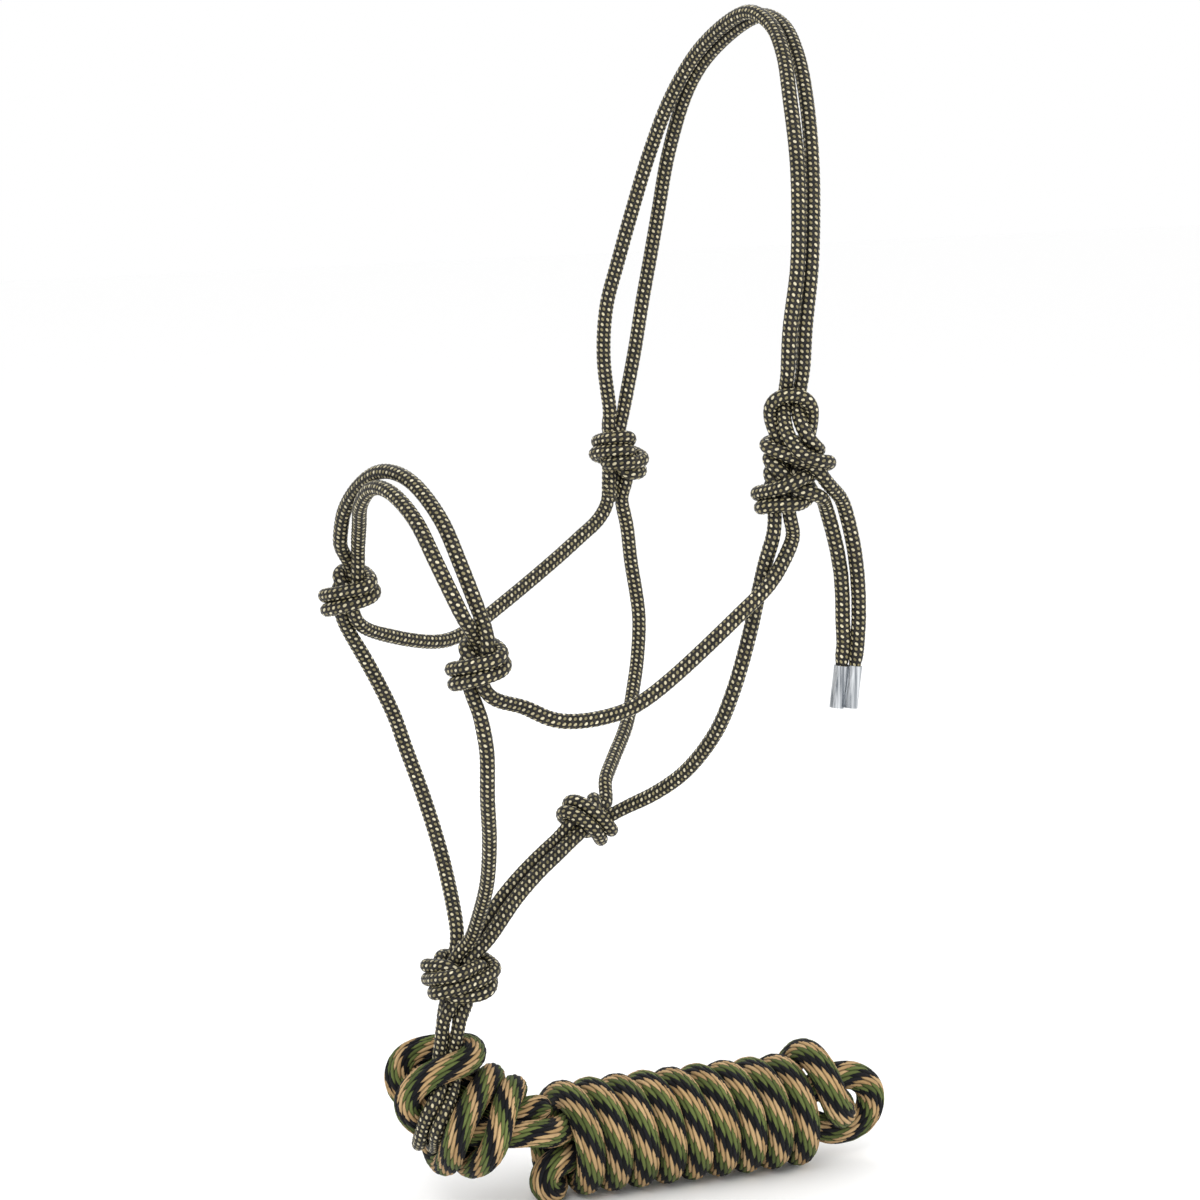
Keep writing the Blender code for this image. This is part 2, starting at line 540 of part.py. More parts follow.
neck_top = after(lead_knot_front, lead_cord)
neck_foot = in_hank([(-6.0, -15.0, 8.0), (-CLEARANCE / MM, -15.0, 8.0)])
lead_neck = np.concatenate([neck_top[:1], smooth(np.concatenate([neck_top[1:], neck_foot[:1]]), 6), neck_foot[1:]])
cord_solid("lead_neck", lead_neck, lead_cord * KNOT_SQUEEZE * KNOT_EASE, lead_braid, origin=HITCH)
cord_solid("lead_rope_end", rope_end(lead_knot_back[::-1], 0.010), lead_cord * KNOT_SQUEEZE * KNOT_EASE,
           lead_braid, origin=HITCH)
end = HANK_LENGTH / MM + CLEARANCE / MM
radius = BIGHT_RADIUS / MM
far_bight = smooth(in_hank([(end, 0, radius), (end + 6, 0, radius), (end + 12, 0, radius * 0.97),
                            (end + 20, 0, radius * 0.82), (end + 27, 0, radius * 0.45), (end + 29, 0, 0),
                            (end + 27, 0, -radius * 0.45), (end + 20, 0, -radius * 0.82),
                            (end + 12, 0, -radius * 0.97), (end + 6, 0, -radius), (end, 0, -radius)]), 2)
cord_solid("hank_far_bight", far_bight, LEAD_ROPE - CLEARANCE, lead_braid, origin=HITCH)
face = -2 * CLEARANCE / MM
near_bight = in_hank([(face, -15, -9), (-5, -15, -9), (-9, -15.5, -10), (-13.5, -16, -13), (-15, -16, -17.3),
                      (-13.5, -16, -21.5), (-9, -15.5, -24.5), (-5, -15, -25.5), (face, -15, -25.5)])
cord_solid("hank_near_bight", near_bight, lead_cord - 2 * CLEARANCE, lead_braid, origin=HITCH)


# Ferrule: two barrels side by side, one for each rope end
def cylinder(name, foot, top, radius, collection, look=None, sides=32):
    way = unit(top - foot)
    bpy.ops.mesh.primitive_cylinder_add(vertices=sides, radius=radius,
                                        depth=float(np.sqrt(((top - foot) ** 2).sum())))
    made = bpy.context.object
    made.name = made.data.name = name
    made.rotation_mode = "QUATERNION"
    tilt = np.array([-way[1], way[0], 0.0])
    made.rotation_quaternion = (1 + way[2], *tilt)
    made.rotation_quaternion.normalize()
    made.location = (foot + top) / 2
    for old in list(made.users_collection):
        old.objects.unlink(made)
    collection.objects.link(made)
    if look:
        made.data.materials.append(look)
    return made


def combine(target, other, operation):
    change = target.modifiers.new(operation.lower(), "BOOLEAN")
    change.operation = operation
    change.object = other
    change.solver = "EXACT"
    other.hide_render = True
    other.display_type = "WIRE"


outer = FERRULE_BORE / 2 + FERRULE_WALL
barrels = []
for side in (-1, 1):
    mouth = FERRULE_TOP + side * barrel_offset
    where = parts if side < 0 else cutters
    barrels.append(cylinder("tail_ferrule" if side < 0 else "ferrule_second_barrel",
                            mouth + barrel_way * FERRULE_LENGTH, mouth, outer, where, crimped_aluminium))
ferrule = barrels[0]
combine(ferrule, barrels[1], "UNION")
for side in (-1, 1):
    mouth = FERRULE_TOP + side * barrel_offset
    bore = cylinder(f"ferrule_bore_{'near' if side < 0 else 'off'}",
                    mouth + barrel_way * (FERRULE_LENGTH + 0.001), mouth - barrel_way * 0.001,
                    FERRULE_BORE / 2, cutters)
    combine(ferrule, bore, "DIFFERENCE")
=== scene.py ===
"""Rope halter with its lead rope: the looks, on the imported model's frame.

Both ropes are single cords, so each is laid out here as one long path, smoothed where it
runs into a knot, and given a braided surface that follows it from end to end.
"""
import bpy
import numpy as np
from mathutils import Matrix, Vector

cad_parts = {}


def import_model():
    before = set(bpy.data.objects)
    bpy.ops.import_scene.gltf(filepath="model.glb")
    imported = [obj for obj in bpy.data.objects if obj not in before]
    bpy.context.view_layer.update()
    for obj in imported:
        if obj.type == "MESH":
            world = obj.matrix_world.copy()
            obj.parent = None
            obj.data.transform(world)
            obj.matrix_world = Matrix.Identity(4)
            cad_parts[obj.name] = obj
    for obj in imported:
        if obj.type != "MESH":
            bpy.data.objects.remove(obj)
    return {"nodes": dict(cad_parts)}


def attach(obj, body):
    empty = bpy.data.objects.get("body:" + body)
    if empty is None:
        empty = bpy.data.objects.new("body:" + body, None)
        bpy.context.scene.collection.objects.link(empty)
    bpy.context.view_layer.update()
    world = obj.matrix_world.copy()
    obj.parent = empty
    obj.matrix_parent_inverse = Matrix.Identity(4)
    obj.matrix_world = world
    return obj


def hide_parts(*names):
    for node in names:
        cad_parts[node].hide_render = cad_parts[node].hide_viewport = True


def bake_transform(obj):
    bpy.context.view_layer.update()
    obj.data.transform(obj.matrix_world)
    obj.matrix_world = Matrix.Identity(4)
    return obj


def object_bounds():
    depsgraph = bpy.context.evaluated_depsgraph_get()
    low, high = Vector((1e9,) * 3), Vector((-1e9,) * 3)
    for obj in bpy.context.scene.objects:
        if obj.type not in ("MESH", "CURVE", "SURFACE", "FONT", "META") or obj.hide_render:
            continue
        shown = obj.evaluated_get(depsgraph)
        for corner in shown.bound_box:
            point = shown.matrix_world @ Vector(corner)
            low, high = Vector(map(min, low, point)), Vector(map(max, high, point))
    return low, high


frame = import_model()
cad_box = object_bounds()

MM = 0.001
HALTER_CORD = 0.008
LEAD_ROPE = 0.016
KNOT_SQUEEZE = 0.94        # a cord's width inside a tight knot over its free width
CLEARANCE = 0.0003
RUN_STEP = 1.6
FERRULE_LENGTH, FERRULE_BORE, FERRULE_WALL = 0.0235, 0.0066, 0.0008
HANK_PITCH, HANK_HEADING = 0.0167, -10.0

# Camera: a long lens, a little above the halter and in front of its near side
LOOK_FROM, LOOK_HEIGHT = 32.0, 10.0
FOCAL_MM, FILM_MM = 104.46, 36.0

view = bpy.data.cameras.new("camera")
view.lens, view.sensor_width, view.clip_start = FOCAL_MM, FILM_MM, 0.01
camera = bpy.data.objects.new("camera", view)
bpy.context.scene.collection.objects.link(camera)
az, el = np.radians(LOOK_FROM), np.radians(LOOK_HEIGHT)
looking = Vector((np.sin(az) * np.cos(el), np.cos(az) * np.cos(el), -np.sin(el)))
camera.location = (-1.1198, -1.6286, 0.0143)
camera.rotation_euler = looking.to_track_quat("-Z", "Y").to_euler()
bpy.context.scene.camera = camera


# Paths

def length_along(path):
    """Distance from the path's start to each of its points."""
    return np.concatenate([[0.0], np.cumsum(np.sqrt(((path[1:] - path[:-1]) ** 2).sum(1)))])


def length_of(path):
    return float(length_along(path)[-1])


def evenly(path, count):
    """The same path with its points equally spaced."""
    along = length_along(path)
    wanted = np.linspace(0.0, along[-1], count)
    return np.stack([np.interp(wanted, along, path[:, k]) for k in range(3)], 1)


def unit(v):
    return v / np.sqrt((v ** 2).sum(-1, keepdims=True))


def smooth(points, per_span=16):
    """A smooth curve through a few points: a centripetal Catmull-Rom spline."""
    points = np.asarray(points, float)
    ends = [2 * points[0] - points[1]], [2 * points[-1] - points[-2]]
    points = np.concatenate([ends[0], points, ends[1]])
    spans = []
    for i in range(1, len(points) - 2):
        p = points[i - 1:i + 3]
        gaps = np.maximum(((p[1:] - p[:-1]) ** 2).sum(1) ** 0.25, 1e-6)
        t0, t1, t2, t3 = np.concatenate([[0.0], np.cumsum(gaps)])
        t = np.linspace(t1, t2, per_span, endpoint=False)[:, None]
        a1 = (t1 - t) / (t1 - t0) * p[0] + (t - t0) / (t1 - t0) * p[1]
        a2 = (t2 - t) / (t2 - t1) * p[1] + (t - t1) / (t2 - t1) * p[2]
        a3 = (t3 - t) / (t3 - t2) * p[2] + (t - t2) / (t3 - t2) * p[3]
        b1 = (t2 - t) / (t2 - t0) * a1 + (t - t0) / (t2 - t0) * a2
        b2 = (t3 - t) / (t3 - t1) * a2 + (t - t1) / (t3 - t1) * a3
        spans.append((t2 - t) / (t2 - t1) * b1 + (t - t1) / (t2 - t1) * b2)
    spans.append(points[-2][None])
    return np.concatenate(spans)


def settle(strands, rounds=120, pull=0.3, spacing=0.25, finish=60):
    """Pull strands tight around each other until they touch.

    strands is a list of (path, diameter). Each round shortens the paths a little, smooths
    them, and pushes apart every two points that are nearer than the two cords' radii allow.
    The first and last two points of each path stay where they are.
    """
    sizes = [d for _, d in strands]
    paths = [respaced(p, d * spacing) for p, d in strands]
    self_gap = int(round(1.6 / spacing))
    for turn in range(rounds + finish):
        tight = pull if turn < rounds else 0.02
        if turn % 10 == 0:
            if turn < rounds:
                paths = [respaced(p, d * spacing) for p, d in zip(paths, sizes)]
            counts = [len(p) for p in paths]
            points = np.concatenate(paths)
            radius = np.repeat(np.array(sizes) / 2, counts)
            strand = np.repeat(np.arange(len(paths)), counts)
            order = np.concatenate([np.arange(n) for n in counts])
            last = np.repeat(counts, counts) - 1 - order
            free = ((order >= 2) & (last >= 2))[:, None]
            apart = ((points[:, None] - points[None]) ** 2).sum(2)
            reach = (1.7 * (radius[:, None] + radius[None])) ** 2
            i, j = np.nonzero(np.triu(apart < reach, 1))
            same = (strand[i] == strand[j]) & (np.abs(order[i] - order[j]) < self_gap)
            i, j = i[~same], j[~same]
            least = radius[i] + radius[j]
        bow = np.zeros_like(points)
        bow[1:-1] = 0.5 * (points[2:] + points[:-2]) - points[1:-1]
        bow = bow * free
        kink = np.zeros_like(points)
        kink[1:-1] = 0.5 * (bow[2:] + bow[:-2]) - bow[1:-1]
        points = points + free * (tight * bow - 0.25 * kink)
        for _ in range(2 if turn < rounds else 5):
            between = points[i] - points[j]
            distance = np.sqrt((between ** 2).sum(1)) + 1e-12
            short = np.maximum(0.0, least - distance)
            hit = short > 0
            push = between[hit] / distance[hit, None] * (short[hit] / 2)[:, None]
            a, b = i[hit], j[hit]
            n = len(points)
            shared = np.sqrt(np.maximum(1, np.bincount(a, minlength=n) + np.bincount(b, minlength=n)))
            move = np.stack([np.bincount(a, push[:, k], n) - np.bincount(b, push[:, k], n)
                             for k in range(3)], 1) / shared[:, None]
            size = np.sqrt((move ** 2).sum(1)) + 1e-12
            move = move * np.minimum(1.0, 0.2 * radius / size)[:, None]
            points = points + free * move
        paths = np.split(points, np.cumsum(counts)[:-1])
    return paths


def respaced(path, step):
    """A path with its inner points spaced evenly again and its held ends untouched."""
    inner = path[1:-1]
    count = max(5, int(round(length_of(inner) / step)) + 1)
    return np.concatenate([path[:1], evenly(inner, count), path[-1:]])


# Where things are, as in the solids

SCREEN_RIGHT = np.array([np.cos(np.radians(-32.0)), np.sin(np.radians(-32.0)), 0.0])
AWAY = np.array([-SCREEN_RIGHT[1], SCREEN_RIGHT[0], 0.0])
UP = np.array([0.0, 0.0, 1.0])


def placed(points):
    return np.array(points, float) * MM


class Spot:
    """A knot's own frame, in cord diameters: right, back and up as seen from its face."""

    def __init__(self, centre, cord, turn=-32.0, tilt=0.0, hand=1):
        a, b = np.radians(turn), np.radians(tilt)
        right = np.array([np.cos(a), np.sin(a), 0.0])
        back = np.array([-np.sin(a), np.cos(a), 0.0])
        up = np.array([0.0, 0.0, 1.0])
        self.right = (np.cos(b) * right + np.sin(b) * up) * hand
        self.up = np.cos(b) * up - np.sin(b) * right
        self.back = back
        self.centre, self.cord = np.asarray(centre, float), cord

    def at(self, points):
        p = np.asarray(points, float) * self.cord
        return self.centre + p[:, :1] * self.right + p[:, 1:2] * self.back + p[:, 2:] * self.up


def overhand_strand(level, down, out):
    """One strand of a two-strand overhand knot.

    It comes down the core, leaves it at the bottom, goes once round the outside while it
    climbs, and turns down the core again. level shifts the turn up or down, and down and
    out are its (right, back) places in the core on the way in and on the way out.
    """
    turn = np.radians(np.linspace(285.0, -185.0, 14))
    climb = level - 0.5 + 2.0 * (180.0 - np.degrees(turn)) / 360.0
    ring = np.stack([1.75 * np.cos(turn), -1.6 * np.sin(turn), climb], 1)
    first = [(down[0], down[1], 1.9), (down[0], down[1], 0.9), (down[0], down[1], level * 0.6 - 0.2)]
    last = [(out[0] - 0.35, out[1] + 0.1, climb[-1] - 0.35), (out[0], out[1], climb[-1] - 1.3),
            (out[0], out[1], -1.9)]
    return np.concatenate([first, ring, last])


OVERHAND = (overhand_strand(0.5, (0.6, -0.45), (-0.2, -0.5)),
            overhand_strand(-0.5, (0.6, 0.55), (-0.85, 0.3)))


def fiador_strand(index, ring=2.3, core=1.2, climb=3.2):
    """One of four equal strands of the fiador knot: down the core, round the rest, down the core."""
    start = 90.0 * index + 45.0
    around = np.radians(start + np.linspace(25.0, 300.0, 12))
    turn = np.stack([ring * np.cos(around), ring * np.sin(around), np.linspace(-climb, climb, 12) / 2], 1)
    into, out = np.radians(start), np.radians(start + 315.0)
    first = [(0.6 * core * np.cos(into), 0.6 * core * np.sin(into), 2.2),
             (core * np.cos(into), core * np.sin(into), 0.9),
             (core * np.cos(into), core * np.sin(into), -0.9)]
    last = [(core * np.cos(out), core * np.sin(out), 0.9), (core * np.cos(out), core * np.sin(out), -0.9),
            (0.6 * core * np.cos(out), 0.6 * core * np.sin(out), -2.2)]
    return np.concatenate([first, turn, last])


# Joining runs to knots

def after(stretch, cord=HALTER_CORD):
    """The first two points of a strand that carries a stretch on past its last point."""
    way = unit(stretch[-1] - stretch[-2])
    return stretch[-1] + way * np.array([[CLEARANCE], [CLEARANCE + 0.25 * cord]])


def before(stretch, cord=HALTER_CORD):
    """The last two points of a strand that leads up to a stretch's first point."""
    way = unit(stretch[0] - stretch[1])
    return stretch[0] + way * np.array([[CLEARANCE + 0.25 * cord], [CLEARANCE]])


def strand(start, middle, end):
    """A strand's path from its two held points at one end to the two at the other."""
    route = smooth(np.concatenate([start[1:], middle, end[:1]]), 8)
    return np.concatenate([start[:1], route, end[-1:]])


def overhand(spot, arriving, leaving, cord, rounds=120):
    """A two-strand overhand knot between two stretches that arrive and two that leave."""
    size = cord * KNOT_SQUEEZE
    return settle([(strand(after(a, cord), spot.at(shape), before(b, cord)), size)
                   for shape, a, b in zip(OVERHAND, arriving, leaving)], rounds)


def cut(path, *places):
    """Cut a path at some fractions of its length, leaving flat parallel faces and a gap at each."""
    steps = np.sqrt(((path[1:] - path[:-1]) ** 2).sum(1))
    along = np.concatenate([[0.0], np.cumsum(steps)]) / steps.sum()
    reach = 1.5 * steps.mean()
    pieces, begin, head = [], 0, path[:0]
    for share in places:
        k = int(np.searchsorted(along, share))
        middle, way = (path[k - 1] + path[k]) / 2, unit(path[k + 1] - path[k - 2])
        tail = middle - way * np.array([[reach], [CLEARANCE / 2]])
        pieces.append(np.concatenate([head, path[begin:k - 2], tail]))
        head, begin = middle + way * np.array([[CLEARANCE / 2], [reach]]), k + 2
    pieces.append(np.concatenate([head, path[begin:]]))
    return pieces


def place(x, y, z):
    return np.array([x, y, z]) * MM


FINE_CURVES = []


def run(points):
    """A free stretch of cord as the solids step it; its fine curve is kept for the surface."""
    curve = smooth(placed(points))
    stretch = evenly(curve, int(round(length_of(curve) / (RUN_STEP * HALTER_CORD))) + 1)
    FINE_CURVES.append((stretch, curve))
    return stretch


# Halter runs, as millimetre points of the drawn head

crown_front = run([(-36, 95, -231), (-39, 97, -200), (-37, 97, -170), (-30, 96, -145), (-22, 93, -115),
                   (-15, 85, -81), (-11, 68, -48), (-7, 42, -19), (-4, 2, 0), (-5, -22, -6), (-12, -45, -22),
                   (-21, -65, -47), (-28, -82, -79), (-33, -91, -107), (-37, -96, -135), (-43, -98, -168),
                   (-44, -98, -190)])
crown_back = run([(-26, 95, -230), (-17, 97, -195), (-12, 97, -168), (-8, 96, -146), (-4, 93, -117),
                  (-2, 85, -82), (-1, 66, -44), (1, 44, -22), (5, 3, -2), (5, -20, -7), (-1, -43, -23),
                  (-9, -63, -46), (-17, -80, -77), (-23, -90, -106), (-28, -96, -135), (-33, -98, -168),
                  (-34, -98, -189)])
nose_outer = run([(-220, -70, -311), (-223, -66, -299), (-226, -60, -285), (-228, -44, -264), (-230, -20, -248),
                  (-232, -3, -243), (-234, 14, -244), (-236, 32, -253), (-236, 51, -270), (-233, 63, -290)])
nose_inner = run([(-231, -71, -311), (-236, -66, -297), (-240, -57, -281), (-241, -40, -264), (-242, -20, -253),
                  (-242, -3, -250), (-241, 12, -253), (-238, 28, -263), (-230, 45, -277), (-224, 58, -291)])
near_cheek = run([(-38, -96, -282), (-45, -98, -292), (-56, -99.5, -305), (-74, -98, -320), (-113, -93, -351),
                  (-132, -91, -363), (-144, -89, -368), (-167, -85, -371), (-183, -81, -369), (-196, -76, -362)])
near_throat = run([(-50, -94, -281), (-52, -91, -292), (-55, -89, -308), (-59, -85, -335), (-65, -79, -366),
                   (-68, -66, -392), (-74, -44, -418), (-83, -24, -434), (-90, -13, -441)])
off_cheek = run([(-37, 95, -287), (-44, 95, -296), (-56, 94, -304), (-74, 93, -316), (-111, 90, -338),
                 (-137, 86, -351), (-150, 84, -355), (-163, 81, -355), (-183, 77, -351), (-203, 73, -345)])
off_throat = run([(-27, 97, -286), (-23, 97, -300), (-20, 97, -322), (-18, 91, -355), (-24, 83, -378),
                  (-33, 73, -393), (-50, 54, -411), (-72, 33, -424), (-88, 17, -432)])
near_chin = run([(-220, -70, -366), (-216, -69, -384), (-211, -61, -413), (-203, -49, -439), (-196, -34, -467),
                 (-192, -18, -490), (-191, -9, -504)])
off_chin = run([(-219, 71, -349), (-212, 69, -362), (-200, 63, -390), (-196, 57, -408), (-190, 46, -437),
                (-187, 32, -467), (-189, 16, -492), (-191, 8, -504)])
throat_near = run([(-131, -5, -464), (-144, -5, -473), (-160, -5, -487), (-173, -5, -502), (-179, -5, -509)])
throat_off = run([(-129, 5, -461), (-142, 5, -470), (-159, 5, -484), (-173, 5, -499), (-180, 5, -508)])

# Tail ropes and their ferrule
TIE = place(-39, -98, -222)
FERRULE_TOP, FERRULE_FOOT = place(-7, -105.5, -354), place(-10, -105.5, -378)
barrel_way = unit(FERRULE_FOOT - FERRULE_TOP)
barrel_offset = SCREEN_RIGHT * (FERRULE_BORE + FERRULE_WALL) / 2


def tail(points, side):
    """A tail rope, narrowing where it goes into its barrel of the ferrule."""
    mouth = FERRULE_TOP + side * barrel_offset
    foot = mouth + barrel_way * (FERRULE_LENGTH - 0.002)
    free = smooth(np.concatenate([placed(points), [mouth - barrel_way * 0.012]]))
    free = evenly(free, int(round(length_of(free) / (RUN_STEP * HALTER_CORD))) + 1)
    path = np.concatenate([free, [mouth - barrel_way * 0.003, mouth + barrel_way * 0.002, foot]])
    widths = np.full(len(path), HALTER_CORD)
    gripped = FERRULE_BORE - CLEARANCE
    widths[-4:] = gripped + 0.0007, gripped + 0.0004, gripped, gripped
    return path, widths


tail_near, _ = tail([(-22, -103, -264), (-16, -104, -283), (-11, -104, -306), (-10, -104, -328)], -1)
tail_off, _ = tail([(-12, -106, -263), (-7, -108, -283), (-3, -108, -306), (-2, -108, -328)], 1)

# Knots
NEAR_CHEEK_KNOT = TIE + np.array([-0.0037, 0.0023, -0.0328])
near_nose_spot = Spot(place(-221, -70, -339), HALTER_CORD)
off_nose_spot = Spot(place(-224, 68, -320), HALTER_CORD)
off_cheek_spot = Spot(place(-30, 95, -259), HALTER_CORD, turn=150.0)
throat_spot = Spot(place(-110, 0, -450), HALTER_CORD, turn=0.0, tilt=-60.0)

near_nose_knot = overhand(near_nose_spot, (nose_outer[::-1], nose_inner[::-1]), (near_cheek[::-1], near_chin),
                          HALTER_CORD)
off_nose_knot = overhand(off_nose_spot, (nose_inner, nose_outer), (off_cheek[::-1], off_chin), HALTER_CORD)
off_cheek_knot = overhand(off_cheek_spot, (crown_front[::-1], crown_back[::-1]), (off_cheek, off_throat),
                          HALTER_CORD)
throat_knot = overhand(throat_spot, (near_throat, off_throat), (throat_near, throat_off), HALTER_CORD)

# The crown's ends tied into the eye loop that stands up from the near cheek knot
TIE_A = [(-0.45, 0.9, 3.0), (-1.0, -0.3, 1.9), (-1.0, -0.9, 0.5), (-0.5, -1.6, -1.2), (0.6, -2.1, -2.2),
         (2.0, -0.8, -2.9), (2.6, 0.3, -2.9), (1.2, 1.3, -2.6), (-0.7, 1.3, -2.2), (-2.5, 0.3, -1.9),
         (-1.8, -0.9, -2.1), (-0.4, -1.1, -2.8), (0.8, -1.1, -3.7)]
TIE_B = [(0.65, 0.9, 3.0), (0.05, -0.3, 1.9), (0.0, -0.9, 0.7), (0.4, -1.7, -0.4), (1.1, -2.1, -1.3),
         (2.3, -0.8, -1.8), (2.5, 0.3, -1.7), (1.2, 1.3, -1.5), (-0.7, 1.3, -1.2), (-2.3, 0.2, -0.9),
         (-1.6, -1.0, -0.9), (-0.2, -1.2, -1.7), (0.9, -1.2, -2.7), (2.0, -0.8, -3.8)]
EYE_LOOP = [(-1.5, 0, -2.3), (-1.95, 0, -0.7), (-2.0, 0, 1.4), (-1.3, 0, 2.7), (-0.2, 0, 3.05), (0.8, 0, 2.3),
            (1.25, 0, 0.6), (1.15, 0, -1.0), (0.5, 0, -2.3)]


def tie_and_near_cheek():
    """The near cheek knot, its eye loop and the two crown ends tied into it, settled as one."""
    tie, knot = Spot(TIE, HALTER_CORD), Spot(NEAR_CHEEK_KNOT, HALTER_CORD)
    size = HALTER_CORD * KNOT_SQUEEZE
    first, second = (knot.at(shape) for shape in OVERHAND)
    loop = np.concatenate([second[:0:-1], tie.at(EYE_LOOP), first[1:]])
    looped = strand(after(near_throat[::-1]), loop, before(near_cheek))
    crown_a = strand(after(crown_front), tie.at(TIE_A), before(tail_near))
    crown_b = strand(after(crown_back), tie.at(TIE_B), before(tail_off))
    looped, crown_a, crown_b = settle([(looped, size), (crown_a, size), (crown_b, size)], 150)
    height = tie.centre[2] - 2.0 * HALTER_CORD
    above = np.nonzero(looped[:, 2] > height)[0]
    share = np.concatenate([[0.0], np.cumsum(np.sqrt(((looped[1:] - looped[:-1]) ** 2).sum(1)))])
    share = share / share[-1]
    throat_side, eye, cheek_side = cut(looped, share[above[0]], share[above[-1]])
    return throat_side, eye, cheek_side, crown_a, crown_b


near_knot_throat, eye_loop, near_knot_cheek, tie_front, tie_back = tie_and_near_cheek()

# Fiador knot, and the ports of the four strands that hang below it
FIADOR = place(-194, 0, -528)
LOOP_TOP = place(-200, 0, -553)


def in_loops(points):
    """Points given in millimetres right, back and up of the top of the lead loops."""
    p = np.asarray(points, float) * MM
    return LOOP_TOP + p[:, :1] * SCREEN_RIGHT + p[:, 1:2] * AWAY + p[:, 2:] * UP


LOOP_LEGS = ((-4.5, -4.5), (4.5, -4.5), (-4.5, 4.5), (4.5, 4.5))
leg_tops = [in_loops([(x, y, 0.0), (x, y, -2.0)]) for x, y in LOOP_LEGS]


def fiador_knot():
    """Match each arriving cord to the nearest strand of the knot, then settle all four."""
    spot = Spot(FIADOR, HALTER_CORD, turn=-32.0)
    shapes = [spot.at(fiador_strand(k)) for k in range(4)]
    size = HALTER_CORD * KNOT_SQUEEZE
    by_angle = (throat_off, off_chin, near_chin, throat_near)
    below = (leg_tops[1], leg_tops[3], leg_tops[2], leg_tops[0])
    strands = [(strand(after(a), shape, before(b)), size) for a, shape, b in zip(by_angle, shapes, below)]
    return settle(strands, 200)


fiador_strands = fiador_knot()

# Lead rope: its eye looped to the lead loops, the knot of the eye, and the hank
LEAD_KNOT = in_loops([(12.0, 3.0, -64.0)])[0]
LOOP_BIGHTS = ([(-5.5, -5, -24), (-9, -10, -40), (-14, -15, -52), (-17, -9, -64), (-17, 2, -67), (-14, 12, -60),
                (-9, 13, -48), (-5.5, 6, -24)],
               [(4, -5, -24), (0, -10, -40), (-4, -15, -52), (-7, -9, -66), (-7, 2, -69), (-4, 12, -60),
                (0, 13, -48), (4, 6, -24)])
LEAD_EYE = [(6, -2, -60), (-14, -3, -57), (-27, -8, -45), (-24, -16, -30), (-8, -19, -22), (8, -17, -19),
            (20, -6, -18), (20, 7, -20), (6, 18, -23), (-10, 17, -28), (-20, 8, -36), (-12, 2, -42), (6, 2, -46)]
HANK_START = place(-134, -9, -631)
hank_way = np.array([np.cos(np.radians(HANK_HEADING)), np.sin(np.radians(HANK_HEADING)), 0.0])
hank_side = np.array([-hank_way[1], hank_way[0], 0.0])


def in_hank(points):
    """Points given in millimetres along, across (away from the near side) and up from the hank's start."""
    p = np.asarray(points, float) * MM
    return HANK_START + p[:, :1] * hank_way + p[:, 1:2] * hank_side + p[:, 2:] * UP


def lead_group():
    """The lead's eye and knot, settled together with the two loops it hangs in."""
    spot = Spot(LEAD_KNOT, LEAD_ROPE * KNOT_SQUEEZE, turn=-32.0, tilt=85.0, hand=-1)
    size, small = LEAD_ROPE * KNOT_SQUEEZE * KNOT_SQUEEZE, HALTER_CORD * KNOT_SQUEEZE
    first, second = (spot.at(shape) for shape in OVERHAND)
    eye = np.concatenate([second[-2:1:-1], in_loops(LEAD_EYE), first[2:-1]])
    out_a, out_b = (spot.at([(x, y, -2.1), (x, y, -2.35)]) for x, y in ((-0.2, -0.5), (-0.9, 0.4)))
    eye = strand(out_b[::-1], eye, out_a)
    loops = [strand(leg_tops[k], in_loops(LOOP_BIGHTS[k]), leg_tops[k + 2][::-1]) for k in (0, 1)]
    eye, loop_near, loop_off = settle([(eye, size), (loops[0], small), (loops[1], small)], 120, finish=150)
    left = (eye - spot.centre) @ spot.up
    outside = np.nonzero(left > 2.3 * size)[0]
    share = np.concatenate([[0.0], np.cumsum(np.sqrt(((eye[1:] - eye[:-1]) ** 2).sum(1)))])
    share = share / share[-1]
    back_strand, bight, front_strand = cut(eye, share[outside[0]], share[outside[-1]])
    return back_strand, bight, front_strand, loop_near, loop_off


lead_knot_back, lead_eye, lead_knot_front, loop_near, loop_off = lead_group()
lead_cord = LEAD_ROPE * KNOT_SQUEEZE


# Each cord as one chain of stretches

def fine(stretch):
    """The smooth curve behind a stepped stretch, or the stretch itself."""
    for stepped, curve in FINE_CURVES:
        if stepped is stretch:
            return curve
    return stretch


